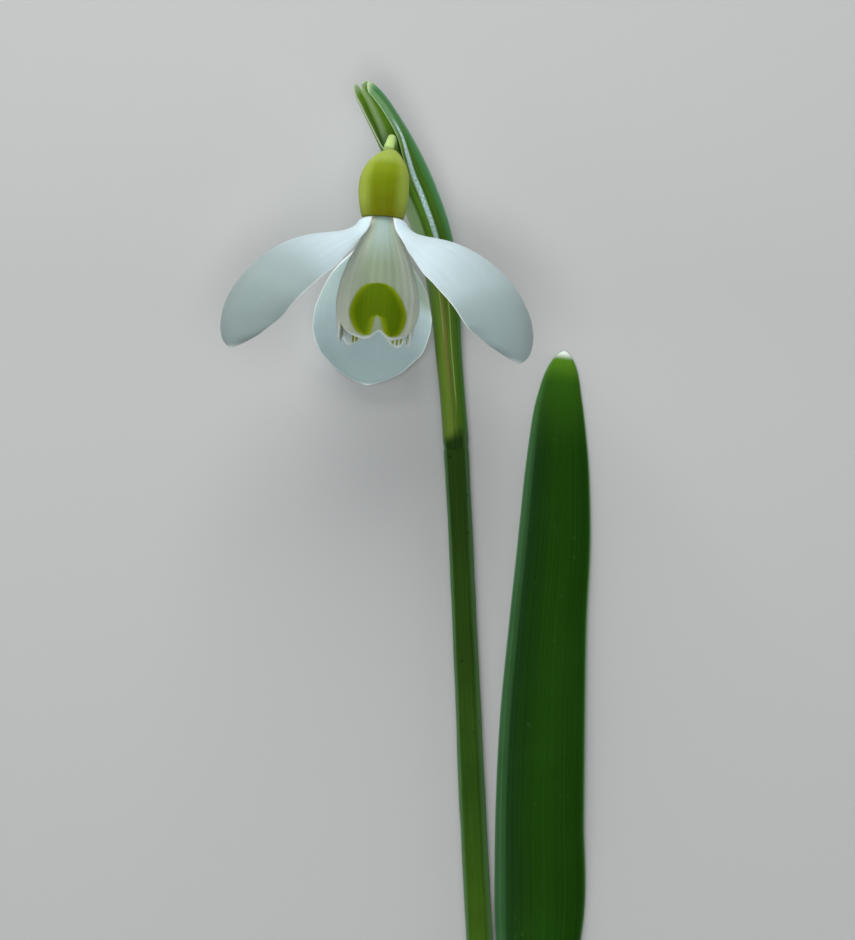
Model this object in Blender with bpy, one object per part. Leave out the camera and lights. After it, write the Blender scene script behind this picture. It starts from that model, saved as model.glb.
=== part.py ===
"""A snowdrop on its stalk, picked with one leaf and laid down on a table.

The shoot lies along Y. Its cut end is at -Y, and the flower hangs from the top of the
stalk at +Y with its mouth towards -Y. Z = 0 is the table. The front of the flower faces up.
Sizes are in millimetres and become metres where a mesh is made.
"""

import math

import bmesh
import bpy
import numpy as np

MM = 0.001
GAP = 0.3  # clearance between neighbouring pieces

# The table end of the shoot, where everything is cut in one plane
CUT_Y = -61.2

# Scape, the leafless stalk of the flower: its middle line, then its half width and half height
SCAPE_LINE = [
    (9.5, CUT_Y, 3.25),
    (9.2, -54.0, 3.25),
    (8.9, -48.0, 2.5),
    (8.4, -39.3, 1.72),
    (7.46, -20.6, 1.55),
    (6.63, -1.7, 1.46),
    (5.98, 12.4, 1.4),
    (5.63, 19.0, 1.6),
]
SCAPE_HALF_WIDTH = [(0.0, 1.5), (0.25, 1.55), (0.5, 1.53), (0.8, 1.42), (0.95, 1.42), (1.0, 1.55)]
SCAPE_FLATTENING = 0.95
SCAPE_SIDES = 12

# Spathe, the sheath of two green valves that holds the pedicel. A gap runs down its front: half its
# breadth and how far left of straight up its middle is, both in degrees round the sheath. The rim
# is how far up the valves reach, from the right side of the gap (-1) round to its left side (1)
SPATHE_LINE = [
    (5.62, 19.3, 1.62),
    (5.27, 24.2, 1.75),
    (4.75, 30.1, 2.2),
    (4.3, 35.9, 3.2),
    (2.95, 42.9, 5.0),
    (1.35, 47.6, 6.5),
    (-0.6, 52.2, 8.3),
    (-2.85, 56.5, 10.4),
    (-4.15, 58.6, 11.4),
    (-5.65, 60.6, 12.25),
]
SPATHE_HALF_WIDTH = [
    (0.0, 1.35), (0.1, 1.27), (0.25, 1.35), (0.4, 1.58), (0.53, 1.98), (0.65, 2.1),
    (0.76, 1.95), (0.87, 1.62), (0.94, 1.4), (0.98, 1.12), (1.0, 0.85),
]
SPATHE_HALF_OPENING = [
    (0.0, 6.0), (0.4, 6.0), (0.68, 7.0), (0.75, 9.0), (0.79, 20.0), (0.84, 42.0), (0.9, 52.0), (1.0, 56.0),
]
SPATHE_RIM = [
    (-1.0, 0.96), (-0.75, 0.978), (-0.4, 0.99), (-0.05, 0.99), (0.1, 0.984), (0.2, 0.974), (0.3, 0.96),
    (0.36, 0.957), (0.44, 0.966), (0.55, 0.987), (0.7, 1.0), (0.85, 0.993), (1.0, 0.96),
]
SPATHE_TURN = [(0.0, 2.0), (0.4, 3.0), (0.68, 5.0), (0.76, 12.0), (0.83, 26.0), (0.92, 38.0), (1.0, 50.0)]
SPATHE_WALL = 0.3

# Pedicel, the thread that hooks over and carries the flower
PEDICEL_LINE = [
    (5.58, 19.6, 1.6),
    (4.75, 30.1, 2.2),
    (3.65, 40.0, 4.15),
    (1.6, 46.9, 6.25),
    (0.3, 49.9, 7.4),
    (-0.75, 51.8, 8.6),
    (-1.6, 53.1, 10.1),
    (-1.95, 53.85, 11.6),
    (-2.12, 54.08, 13.1),
]  # and from there down into the top of the ovary
PEDICEL_RADIUS = 0.58

# Flower: the foot of the ovary, and the way the flower hangs from it
FLOWER_FOOT = (-2.86, 44.84, 14.9)
LEAN = 4.0  # degrees that the mouth swings to the left
LIFT = 5.0  # degrees that the mouth lifts off the table

# Ovary: its lean at the foot, how fast its middle line bends to the right above that (per mm
# squared), then (height above its foot, radius)
OVARY_LEAN = 1.0
OVARY_BEND = 0.0014
OVARY_PROFILE = [
    (0.0, 2.38), (0.35, 2.5), (1.5, 2.75), (3.3, 2.9), (4.9, 2.76),
    (6.2, 2.28), (7.1, 1.6), (7.7, 0.95), (7.94, 0.6),
]
OVARY_SIDES = 18

# Outer tepals: three spoons that stand open. Angles are between the middle of a tepal and straight
# down; the opening of each is added to them, and its half width is multiplied by its breadth. The
# cup is the half angle of its hollow section
OUTER_AZIMUTHS = {"left": -57.0, "right": 59.0, "back": 183.0}
OUTER_OPENING = {"left": -3.2, "right": -1.2, "back": -11.2}
OUTER_LENGTH = {"left": 26.2, "right": 26.2, "back": 24.1}
OUTER_BREADTH = {
    "left": [(0.0, 1.0), (0.3, 1.03), (1.0, 1.05)],
    "right": [(0.0, 1.05), (0.3, 1.07), (0.6, 1.09), (1.0, 1.16)],
    "back": [(0.0, 1.3), (0.2, 1.2), (0.35, 1.04), (0.5, 1.03), (0.8, 0.99), (1.0, 1.3)],
}
OUTER_START = 2.55
OUTER_ANGLES = [
    (0.0, 32.0), (0.02, 38.0), (0.06, 57.0), (0.12, 74.0), (0.19, 81.0), (0.3, 75.0), (0.42, 62.0),
    (0.55, 49.0), (0.68, 37.0), (0.8, 23.0), (0.9, 3.0), (1.0, -24.0),
]
OUTER_HALF_WIDTH = [
    (0.0, 1.35), (0.08, 2.0), (0.2, 4.3), (0.35, 6.15), (0.5, 6.6), (0.62, 6.5),
    (0.76, 5.95), (0.88, 4.8), (0.95, 3.6), (1.0, 2.3),
]
OUTER_CUP = [(0.0, 38.0), (0.2, 56.0), (0.5, 61.0), (0.7, 61.0), (0.9, 62.0), (1.0, 50.0)]
OUTER_TIP = 0.05  # share of its length over which its round tip closes
OUTER_WALL = 0.45

# Inner tepals: three notched ones that form a bell, (azimuth, extra radius, half spread in degrees).
# The rim is how far down a tepal reaches, from its left side (-1) past its notch to its right side (1)
INNER_PLACES = {"front": (3.5, 0.0, 66.0), "left": (-119.0, -0.75, 55.0), "right": (119.0, -0.75, 55.0)}
INNER_LENGTH = 14.2
INNER_RADIUS = [(0.0, 1.62), (0.15, 2.65), (0.3, 3.7), (0.5, 4.7), (0.65, 5.15), (0.8, 5.1), (1.0, 4.75)]
INNER_SPREAD = [(0.0, 0.87), (0.15, 0.89), (0.3, 0.97), (0.5, 1.0), (0.8, 1.0), (1.0, 0.94)]
INNER_RIM = [
    (-1.0, 0.8), (-0.88, 0.89), (-0.7, 0.955), (-0.5, 0.985), (-0.3, 1.0), (-0.16, 0.985), (0.0, 0.925),
    (0.16, 0.975), (0.3, 0.995), (0.5, 0.98), (0.7, 0.95), (0.88, 0.885), (1.0, 0.8),
]
INNER_WALL = 0.35

# Stamens and style, hidden in the bell
STAMEN_COUNT = 6
STAMEN_RING = [(0.3, 0.98), (1.6, 1.05), (3.2, 1.3), (5.0, 1.2), (7.2, 0.8)]  # (distance down, radius)
STAMEN_PROFILE = [  # (distance down from the foot, radius)
    (0.3, 0.17), (1.9, 0.17), (2.3, 0.36), (3.2, 0.42), (5.0, 0.34), (6.4, 0.16), (7.2, 0.07),
]
STAMEN_SIDES = 8
STYLE_LENGTH = 9.0
STYLE_PROFILE = [(0.3, 0.3), (4.5, 0.3), (8.2, 0.24), (STYLE_LENGTH, 0.12)]

# Leaf: its middle line, half breadth along the arc of its section, half angle of that arc,
# and the way its back faces, from sideways (0) at the foot to straight up (90)
LEAF_LINE = [
    (11.6, CUT_Y, 3.2),
    (11.5, -56.5, 3.2),
    (11.4, -52.8, 3.2),
    (13.1, -47.6, 3.5),
    (15.0, -42.5, 2.7),
    (15.45, -37.0, 2.05),
    (15.4, -25.0, 2.15),
    (15.68, -14.0, 2.1),
    (16.43, -1.7, 1.8),
    (17.2, 7.7, 1.55),
    (17.6, 16.5, 1.3),
    (17.85, 24.2, 0.95),
    (18.45, 30.05, 0.55),
]
LEAF_HALF_BREADTH = [
    (0.0, 2.9), (0.09, 3.0), (0.15, 3.65), (0.2, 4.65), (0.25, 5.3), (0.4, 5.45), (0.52, 5.25),
    (0.65, 4.75), (0.78, 4.3), (0.88, 3.55), (0.94, 2.7), (0.98, 1.65), (1.0, 0.6),
]
LEAF_HALF_ARC = [
    (0.0, 80.0), (0.09, 79.0), (0.15, 52.0), (0.2, 38.0), (0.25, 31.0), (0.4, 29.0), (0.8, 25.0), (1.0, 22.0),
]
LEAF_TURN = [(0.0, 0.0), (0.09, 1.0), (0.13, 32.0), (0.18, 66.0), (0.23, 85.0), (0.3, 90.0), (1.0, 90.0)]
LEAF_WALL = 0.6

# Basal sheath round the feet of the scape and the leaf
SHEATH_LENGTH = 9.0
SHEATH_SLANT = 0.16  # share of its length by which its mouth is lower on the leaf's side
SHEATH_HALF_WIDTH = 2.5
SHEATH_HALF_HEIGHT = 2.95
SHEATH_OFFSET = 0.45  # its middle lies this far to the leaf's side of the scape
SHEATH_WALL = 0.4

GREEN = (0.035, 0.1, 0.012)
BLUE_GREEN = (0.05, 0.15, 0.06)
YELLOW_GREEN = (0.24, 0.28, 0.02)
WHITE = (0.8, 0.84, 0.82)
ANTHER_ORANGE = (0.75, 0.36, 0.04)
PALE_SHEATH = (0.62, 0.6, 0.42)


def material(name, colour, roughness):
    """A Principled material with one colour."""
    made = bpy.data.materials.new(name)
    made.use_nodes = True
    shader = made.node_tree.nodes["Principled BSDF"]
    shader.inputs["Base Color"].default_value = (*colour, 1.0)
    shader.inputs["Roughness"].default_value = roughness
    shader.inputs["Metallic"].default_value = 0.0
    return made


def read_stops(stops, place):
    """Value at a place on the smooth curve through (place, value) stops."""
    places = np.array([stop[0] for stop in stops], dtype=float)
    values = np.array([stop[1] for stop in stops], dtype=float)
    slopes = np.gradient(values, places, axis=0)
    i = int(np.clip(np.searchsorted(places, place, side="right") - 1, 0, len(places) - 2))
    span = places[i + 1] - places[i]
    t = (place - places[i]) / span
    start = (2 * t**3 - 3 * t**2 + 1) * values[i] + (t**3 - 2 * t**2 + t) * span * slopes[i]
    end = (3 * t**2 - 2 * t**3) * values[i + 1] + (t**3 - t**2) * span * slopes[i + 1]
    return start + end


def line_stops(points):
    """Stops along a line through points, placed by distance from 0 to 1."""
    points = np.array(points, dtype=float)
    steps = np.linalg.norm(np.diff(points, axis=0), axis=1)
    places = np.concatenate([[0.0], np.cumsum(steps)]) / steps.sum()
    return list(zip(places, points))


def unit(vector):
    return vector / np.linalg.norm(vector)


def heading(stops, place):
    """Direction of a line at a place."""
    step = 0.004
    ahead = read_stops(stops, min(place + step, 1.0))
    behind = read_stops(stops, max(place - step, 0.0))
    return unit(ahead - behind)


def level_frame(forward):
    """Sideways and upward directions square to a heading."""
    side = unit(np.cross(forward, (0.0, 0.0, 1.0)))
    return side, np.cross(side, forward)


def flower_frame(lean_degrees=LEAN):
    """Directions of the flower: down to its mouth, towards its front, and to its right."""
    lean, lift = math.radians(lean_degrees), math.radians(LIFT)
    down = np.array((-math.sin(lean) * math.cos(lift), -math.cos(lean) * math.cos(lift), math.sin(lift)))
    front = unit(np.array((0.0, 0.0, 1.0)) - down[2] * down)
    return down, front, np.cross(front, down)


def ovary_middle(height):
    """Point on the middle line of the ovary at a height above its foot."""
    down, front, right = flower_frame(OVARY_LEAN)
    return FLOWER_FOOT - height * down + OVARY_BEND * height**3 * right


def place_object(name, corners, faces, finish):
    """A smooth mesh object from corners in millimetres."""
    mesh = bpy.data.meshes.new(name)
    mesh.from_pydata([tuple(corner * MM) for corner in corners], [], faces)
    mesh.materials.append(finish)
    shape = bmesh.new()
    shape.from_mesh(mesh)
    bmesh.ops.recalc_face_normals(shape, faces=shape.faces)
    shape.to_mesh(mesh)
    shape.free()
    mesh.shade_smooth()
    made = bpy.data.objects.new(name, mesh)
    bpy.context.scene.collection.objects.link(made)
    return made


def loft(name, rings, finish):
    """A closed body through rings of equally many points, flat at both ends."""
    sides = len(rings[0])
    corners = [np.array(point) for ring in rings for point in ring]
    faces = [tuple(range(sides)), tuple(range(len(corners) - sides, len(corners)))]
    for row in range(len(rings) - 1):
        for i in range(sides):
            a, b = row * sides + i, row * sides + (i + 1) % sides
            faces.append((a, b, b + sides, a + sides))
    made = place_object(name, corners, faces, finish)
    made.data.set_sharp_from_angle(angle=math.radians(50))
    return made


def sheet(name, surface, rows, columns, wall, finish, closed=False):
    """A thin body of even thickness on a surface(along 0..1, across -1..1)."""
    across = np.linspace(-1.0, 1.0, columns + 1)
    across = across[:-1] if closed else across
    corners = [surface(place, u) for place in rows for u in across]
    width = len(across)
    faces = []
    for row in range(len(rows) - 1):
        for i in range(width if closed else width - 1):
            a, b = row * width + i, row * width + (i + 1) % width
            faces.append((a, b, b + width, a + width))
    made = place_object(name, corners, faces, finish)
    solid = made.modifiers.new("wall", "SOLIDIFY")
    solid.thickness = wall * MM
    solid.offset = 0.0
    return made


def round_ring(centre, across, upward, half_width, half_height, sides):
    """Points of an ellipse round a centre."""
    angles = [math.tau * i / sides for i in range(sides)]
    return [
        centre + half_width * math.cos(a) * across + half_height * math.sin(a) * upward for a in angles
    ]


def tip_rows(count):
    """Places along a blade, closer together towards its round tip."""
    return [1.0 - (1.0 - i / count) ** 1.5 for i in range(count + 1)]


def make_scape(finish):
    line = line_stops(SCAPE_LINE)
    rings = []
    for place in np.linspace(0.0, 1.0, 23):
        forward = heading(line, place)
        side, upward = level_frame(forward)
        if place == 0.0:
            side, upward = np.array((1.0, 0.0, 0.0)), np.array((0.0, 0.0, 1.0))
        half = read_stops(SCAPE_HALF_WIDTH, place)
        centre = read_stops(line, place)
        rings.append(round_ring(centre, side, upward, half, half * SCAPE_FLATTENING, SCAPE_SIDES))
    return loft("scape", rings, finish)


def make_pedicel(finish):
    curve = bpy.data.curves.new("pedicel", "CURVE")
    curve.dimensions = "3D"
    curve.bevel_depth = PEDICEL_RADIUS * MM
    curve.bevel_resolution = 2
    curve.use_fill_caps = True
    ovary_top = OVARY_PROFILE[-1][0]
    down_to_ovary = [ovary_middle(ovary_top + clearance * GAP) for clearance in (2.6, 1.4)]
    line = line_stops(PEDICEL_LINE + down_to_ovary)
    places = tip_rows(36)
    spline = curve.splines.new("POLY")
    spline.points.add(len(places) - 1)
    for point, place in zip(spline.points, places):
        point.co = (*(read_stops(line, place) * MM), 1.0)
    curve.materials.append(finish)
    made = bpy.data.objects.new("pedicel", curve)
    bpy.context.scene.collection.objects.link(made)
    return made


def make_spathe(finish):
    line = line_stops(SPATHE_LINE)

    def surface(along, across):
        place = along * read_stops(SPATHE_RIM, across)
        side, upward = level_frame(heading(line, place))
        half = read_stops(SPATHE_HALF_WIDTH, place)
        closed_half = 180.0 - read_stops(SPATHE_HALF_OPENING, place)
        angle = math.radians(180.0 + across * closed_half - read_stops(SPATHE_TURN, place))
        centre = read_stops(line, place)
        return centre + half * (math.sin(angle) * side + math.cos(angle) * upward)

    rows = np.linspace(0.0, 1.0, 27)
    return sheet("spathe", surface, rows, 24, SPATHE_WALL, finish)


def make_ovary(finish):
    front, right = flower_frame()[1:]
    rings = [
        round_ring(ovary_middle(height), right, front, radius, radius, OVARY_SIDES)
        for height, radius in OVARY_PROFILE
    ]
    return loft("ovary", rings, finish)


def outer_line(length, opening):
    """Distance out from the axis and down from the foot, along the middle of an outer tepal."""
    places = np.linspace(0.0, 1.0, 101)
    angles = np.radians([read_stops(OUTER_ANGLES, place) + opening for place in places])
    step = length / (len(places) - 1)
    out = OUTER_START + np.cumsum(np.sin(angles)) * step
    below = GAP + np.cumsum(np.cos(angles)) * step
    return places, angles, out, below


def make_outer_tepal(where, finish):
    down, front, right = flower_frame()
    azimuth = math.radians(OUTER_AZIMUTHS[where])
    radial = math.cos(azimuth) * front + math.sin(azimuth) * right
    tangent = math.cos(azimuth) * right - math.sin(azimuth) * front
    places, angles, out, below = outer_line(OUTER_LENGTH[where], OUTER_OPENING[where])

    def surface(along, across):
        angle = np.interp(along, places, angles)
        centre = FLOWER_FOOT + np.interp(along, places, out) * radial + np.interp(along, places, below) * down
        outward = math.cos(angle) * radial - math.sin(angle) * down
        cup = math.radians(read_stops(OUTER_CUP, along))
        half = read_stops(OUTER_HALF_WIDTH, along) * read_stops(OUTER_BREADTH[where], along)
        past = max(0.0, (along - 1.0 + OUTER_TIP) / OUTER_TIP)
        radius = half / math.sin(cup) * math.sqrt(1.0 - 0.97 * past * past)
        turn = across * cup
        return centre + radius * math.sin(turn) * tangent - radius * (1.0 - math.cos(turn)) * outward

    return sheet(f"outer_tepal_{where}", surface, tip_rows(20), 10, OUTER_WALL, finish)


def make_inner_tepal(where, finish):
    down, front, right = flower_frame()
    azimuth, extra, spread = INNER_PLACES[where]

    def surface(along, across):
        place = along * read_stops(INNER_RIM, across)
        radius = read_stops(INNER_RADIUS, place) + extra * min(1.0, 4.0 * place)
        angle = math.radians(azimuth + across * spread * read_stops(INNER_SPREAD, place))
        radial = math.cos(angle) * front + math.sin(angle) * right
        return FLOWER_FOOT + (1.3 * GAP + INNER_LENGTH * place) * down + radius * radial

    rows = np.linspace(0.0, 1.0, 17)
    return sheet(f"inner_tepal_{where}", surface, rows, 14, INNER_WALL, finish)


def make_stamen(number, finish):
    down, front, right = flower_frame()
    angle = math.radians(360.0 * (number - 0.5) / STAMEN_COUNT)
    radial = math.cos(angle) * front + math.sin(angle) * right
    rings = []
    for distance, radius in STAMEN_PROFILE:
        centre = FLOWER_FOOT + distance * down + read_stops(STAMEN_RING, distance) * radial
        rings.append(round_ring(centre, right, front, radius, radius, STAMEN_SIDES))
    return loft(f"stamen_{number}", rings, finish)


def make_style(finish):
    down, front, right = flower_frame()
    rings = [
        round_ring(FLOWER_FOOT + distance * down, right, front, radius, radius, STAMEN_SIDES)
        for distance, radius in STYLE_PROFILE
    ]
    return loft("style", rings, finish)


def make_leaf(finish):
    line = line_stops(LEAF_LINE)

    def surface(along, across):
        side, upward = level_frame(heading(line, along))
        if along == 0.0:
            side, upward = np.array((1.0, 0.0, 0.0)), np.array((0.0, 0.0, 1.0))
        turn = math.radians(read_stops(LEAF_TURN, along))
        back = math.cos(turn) * side + math.sin(turn) * upward
        breadthwise = math.sin(turn) * side - math.cos(turn) * upward
        half_arc = math.radians(read_stops(LEAF_HALF_ARC, along))
        radius = read_stops(LEAF_HALF_BREADTH, along) / half_arc
        angle = across * half_arc
        centre = read_stops(line, along)
        return centre + radius * math.sin(angle) * breadthwise - radius * (1.0 - math.cos(angle)) * back

    return sheet("leaf", surface, tip_rows(36), 8, LEAF_WALL, finish)


def make_basal_sheath(finish):
    line = line_stops(SCAPE_LINE)
    reach = SHEATH_LENGTH / (SCAPE_LINE[-1][1] - CUT_Y)

    def surface(along, across):
        angle = math.pi * across
        slanted = along * (1.0 - SHEATH_SLANT * (1.0 + math.cos(angle)) / 2.0)
        centre = read_stops(line, slanted * reach) + np.array((SHEATH_OFFSET, 0.0, 0.0))
        swell = 1.0 + 0.03 * math.sin(math.pi * along)
        out = np.array((SHEATH_HALF_WIDTH * math.cos(angle), 0.0, SHEATH_HALF_HEIGHT * math.sin(angle)))
        return centre + swell * out

    rows = np.linspace(0.0, 1.0, 7)
    return sheet("basal_sheath", surface, rows, 20, SHEATH_WALL, finish, closed=True)


def clear_scene():
    for old in list(bpy.data.objects):
        bpy.data.objects.remove(old, do_unlink=True)


def stand_on_origin(pieces):
    """Parent the pieces to an empty that puts the middle of their underside at the origin."""
    bpy.context.view_layer.update()
    graph = bpy.context.evaluated_depsgraph_get()
    corners = []
    for piece in pieces:
        mesh = piece.evaluated_get(graph).to_mesh()
        corners.extend(tuple(vertex.co) for vertex in mesh.vertices)
        piece.evaluated_get(graph).to_mesh_clear()
    low, high = np.min(corners, axis=0), np.max(corners, axis=0)
    shoot = bpy.data.objects.new("shoot", None)
    bpy.context.scene.collection.objects.link(shoot)
    shoot.location = (-(low[0] + high[0]) / 2, -(low[1] + high[1]) / 2, -low[2])
    for piece in pieces:
        piece.parent = shoot


def main():
    clear_scene()
    green = material("scape_green", GREEN, 0.5)
    valve_green = material("spathe_green", BLUE_GREEN, 0.4)
    fruit_green = material("ovary_green", YELLOW_GREEN, 0.35)
    white = material("tepal_white", WHITE, 0.5)
    leaf_green = material("leaf_green", GREEN, 0.45)
    orange = material("anther_orange", ANTHER_ORANGE, 0.6)
    pale = material("sheath_pale", PALE_SHEATH, 0.5)
    pieces = [make_scape(green), make_spathe(valve_green), make_pedicel(fruit_green)]
    pieces.append(make_ovary(fruit_green))
    pieces += [make_outer_tepal(where, white) for where in OUTER_AZIMUTHS]
    pieces += [make_inner_tepal(where, white) for where in INNER_PLACES]
    pieces += [make_stamen(number, orange) for number in range(1, STAMEN_COUNT + 1)]
    pieces += [make_style(white), make_leaf(leaf_green), make_basal_sheath(pale)]
    stand_on_origin(pieces)


main()
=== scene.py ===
"""A snowdrop, picked with one leaf and laid down on a pale table.

The shoot lies along Y: its cut end is at -Y, and the flower hangs from the top of its stalk at
+Y, with its front facing up. Design sizes are in millimetres and become metres in the guides
that carry each piece from its foot to its tip.
"""

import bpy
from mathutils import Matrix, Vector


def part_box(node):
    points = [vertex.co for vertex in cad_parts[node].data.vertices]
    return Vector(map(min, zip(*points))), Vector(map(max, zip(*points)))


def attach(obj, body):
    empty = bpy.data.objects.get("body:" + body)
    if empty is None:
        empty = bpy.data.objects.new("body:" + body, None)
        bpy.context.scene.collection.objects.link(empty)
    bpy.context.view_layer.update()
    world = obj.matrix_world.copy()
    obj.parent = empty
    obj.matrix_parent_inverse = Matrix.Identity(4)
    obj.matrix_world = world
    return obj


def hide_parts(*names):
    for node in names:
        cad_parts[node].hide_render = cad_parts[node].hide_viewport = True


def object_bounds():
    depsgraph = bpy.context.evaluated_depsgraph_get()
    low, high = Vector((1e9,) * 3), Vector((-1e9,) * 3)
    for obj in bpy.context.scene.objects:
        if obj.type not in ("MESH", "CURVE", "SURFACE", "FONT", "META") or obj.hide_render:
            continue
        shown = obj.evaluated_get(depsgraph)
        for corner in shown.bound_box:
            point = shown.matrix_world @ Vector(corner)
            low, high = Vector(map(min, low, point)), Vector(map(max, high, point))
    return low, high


bl_info = {
    "name": "Snowdrop Flower",
    "version": (1, 0, 0),
    "blender": (4, 5, 0),
    "location": "3D View > Sidebar > Snowdrop",
    "description": "Makes a snowdrop and its leaf from guide lines and procedural finishes",
    "category": "Object",
}

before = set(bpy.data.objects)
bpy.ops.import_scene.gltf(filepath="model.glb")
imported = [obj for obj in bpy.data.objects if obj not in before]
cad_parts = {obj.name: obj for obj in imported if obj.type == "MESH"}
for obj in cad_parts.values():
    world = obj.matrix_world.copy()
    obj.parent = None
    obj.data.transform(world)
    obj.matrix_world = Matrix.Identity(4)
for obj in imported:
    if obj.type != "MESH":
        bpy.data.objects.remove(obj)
CAD_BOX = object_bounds()

import math

import bmesh
import bpy
import numpy as np
from bpy.props import FloatProperty, FloatVectorProperty, PointerProperty
from mathutils import Matrix, Vector

MM = 0.001
GAP = 0.3  # clearance between neighbouring pieces
CUT_Y = -61.2  # the plane in which the shoot is cut
GUIDE_POINTS = 321
SHORT_GUIDE_POINTS = 81
HEADING_STEP = 0.004  # share of a line over which its direction is taken
CLOSE_ENOUGH = 3e-8  # metres between corners that become one
SHUT = 1.0 - 2e-6  # share of a blade's breadth or length at which its two faces meet
END_POWER = 30.0  # how late a blade thins towards its ends
WAVES = (1.3, 3.2)  # slow swings of a blade, across it and along it
RUFFLE = (0.8, 7.0)  # quicker swings of its margins
RUFFLE_SEED = 9.0
RUFFLE_POWER = 3.0  # how near the margin the ruffle stays
SWELLS = 9.0  # slow swellings along a stalk
RIGHT, AHEAD, UP = np.eye(3)

# --- Shapes -------------------------------------------------------------------------------------
# A line is a list of points. The other tables hold (place, value) stops. Places run from the foot
# of a piece (0) to its tip (1), or across a rim from one side (-1) to the other (1), or are
# distances in a profile. Widths and radii are in millimetres, and angles in degrees.

SCAPE_LINE = [
    (9.5, CUT_Y, 3.25), (9.2, -54.0, 3.25), (8.9, -48.0, 2.5), (8.4, -39.3, 1.72),
    (7.46, -20.6, 1.55), (6.63, -1.7, 1.46), (5.98, 12.4, 1.4), (5.61, 19.6, 1.6),
]
SCAPE_HALF_WIDTH = [
    (0, 1.5), (0.25, 1.55), (0.5, 1.53), (0.8, 1.42), (0.95, 1.43), (0.98, 1.46), (0.986, 1.43),
    (0.993, 1.3), (1, 0.9),
]
SCAPE_FLATTENING = 0.95

SPATHE_LINE = [
    (5.69, 18.1, 1.56), (5.64, 19.0, 1.6), (5.27, 24.2, 1.75), (4.75, 30.1, 2.2),
    (4.3, 35.9, 3.2), (3.06, 42.9, 5.0), (1.43, 47.6, 6.5), (-0.58, 52.2, 8.3),
    (-2.85, 56.5, 10.4), (-4.15, 58.6, 11.4), (-5.65, 60.6, 12.25),
]
SPATHE_HALF_WIDTH = [
    (0, 1.3), (0.014, 1.33), (0.028, 1.345), (0.06, 1.31), (0.1, 1.28), (0.25, 1.35), (0.4, 1.58),
    (0.53, 1.9), (0.65, 2.0), (0.76, 1.9), (0.87, 1.62), (0.94, 1.4), (0.98, 1.12), (1, 0.85),
]
SPATHE_HALF_OPENING = [
    (0, 0.15), (0.4, 0.15), (0.68, 1.2), (0.75, 4), (0.79, 18), (0.84, 42), (0.9, 52), (1, 56),
]
SPATHE_RIM = [
    (-1, 0.974), (-0.9, 0.982), (-0.75, 0.988), (-0.6, 0.991), (-0.4, 0.991), (-0.2, 0.99),
    (0, 0.991), (0.16, 0.991), (0.28, 0.989), (0.34, 0.984), (0.385, 0.978), (0.43, 0.981),
    (0.48, 0.993), (0.53, 0.999), (0.6, 1), (0.8, 1), (0.88, 0.996), (0.95, 0.986), (1, 0.972),
]
SPATHE_TURN = [(0, 2), (0.4, 3), (0.68, 5), (0.76, 12), (0.83, 26), (0.92, 38), (1, 50)]
SPATHE_RIB_RUN = [(0, 0.3), (0.2, 0.6), (0.6, 1), (1, 0.7)]
SPATHE_THICKNESS = [(0, 0.3), (0.015, 0.8), (0.03, 0.98), (0.045, 1), (0.06, 1), (0.5, 1), (1, 1)]

PEDICEL_RADIUS = [(0, 0.58), (0.85, 0.54), (0.93, 0.46), (0.96, 0.48), (1, 0.62)]
PEDICEL_FOOT_ASIDE = -0.22  # from the middle of the ovary's top
PEDICEL_STANDS = (2.2, 0.0)  # heights of its last two points above the ovary, in clearances
PEDICEL_LINE = [
    (5.58, 19.6, 1.6), (4.75, 30.1, 2.2), (3.65, 40.0, 4.15), (1.6, 46.9, 6.25), (0.3, 49.9, 7.4),
    (-0.75, 51.8, 8.6), (-1.6, 53.1, 10.1), (-1.72, 53.92, 11.6), (-1.86, 54.16, 13.0),
]

FLOWER_FOOT = (-2.86, 44.84, 14.9)
LEAN = 4.0  # degrees that the mouth of the flower swings to the left
LIFT = 5.0  # degrees that the mouth lifts off the table

OVARY_LEAN = 1.0
OVARY_BEND = 0.0014
OVARY_PROFILE = [
    (0, 2.38), (0.35, 2.5), (1.5, 2.75), (3.3, 2.9), (4.9, 2.76), (6.2, 2.28), (7.1, 1.6),
    (7.7, 0.95), (7.94, 0.6),
]

OUTER_AZIMUTHS = {"left": -57.0, "right": 59.0, "back": 183.0}
OUTER_OPENING = {"left": -2.5, "right": -0.8, "back": -11.2}  # added to the angles
OUTER_LENGTH = {"left": 26.2, "right": 26.2, "back": 23.9}
OUTER_BREADTH = {
    "left": [(0, 1), (0.3, 1), (1, 1.02)],
    "right": [(0, 1.05), (0.3, 1.07), (0.6, 1.09), (1, 1.16)],
    "back": [
        (0, 1.3), (0.2, 1.1), (0.35, 0.99), (0.5, 1.03), (0.65, 1.06), (0.8, 1.07), (0.9, 1.08),
        (1, 1.12),
    ],
}
OUTER_START = 2.55  # how far from the axis of the flower the outer tepals start
OUTER_LAP = 0.55  # how far the foot of each outer tepal reaches up over the rim of the ovary
OUTER_LAP_END = 0.03
OUTER_FOOT = {"left": [(-1, 0.026), (1, 0)], "right": [(-1, 0), (1, 0.026)], "back": None}
OUTER_FOOT_ASIDE = {"left": 0.32, "right": -0.32, "back": 0.0}  # towards the front of the flower
OUTER_ASIDE_END = 0.12
OUTER_ANGLES = [
    (0, 32), (0.02, 38), (0.06, 57), (0.12, 74), (0.19, 81), (0.3, 75), (0.42, 62), (0.55, 49),
    (0.68, 37), (0.8, 23), (0.9, 3), (1, -24),
]
OUTER_STEPS = 101  # points at which the bend of an outer tepal is added up
OUTER_HALF_WIDTH = [
    (0, 1.15), (0.03, 1.4), (0.08, 1.95), (0.2, 4.3), (0.35, 6.15), (0.5, 6.6), (0.62, 6.5),
    (0.76, 5.95), (0.84, 5.3), (0.9, 4.6), (0.95, 3.75), (0.98, 3.05), (1, 2.5),
]
OUTER_CUP = [(0, 38), (0.2, 56), (0.5, 61), (0.7, 61), (0.9, 62), (1, 50)]
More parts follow.
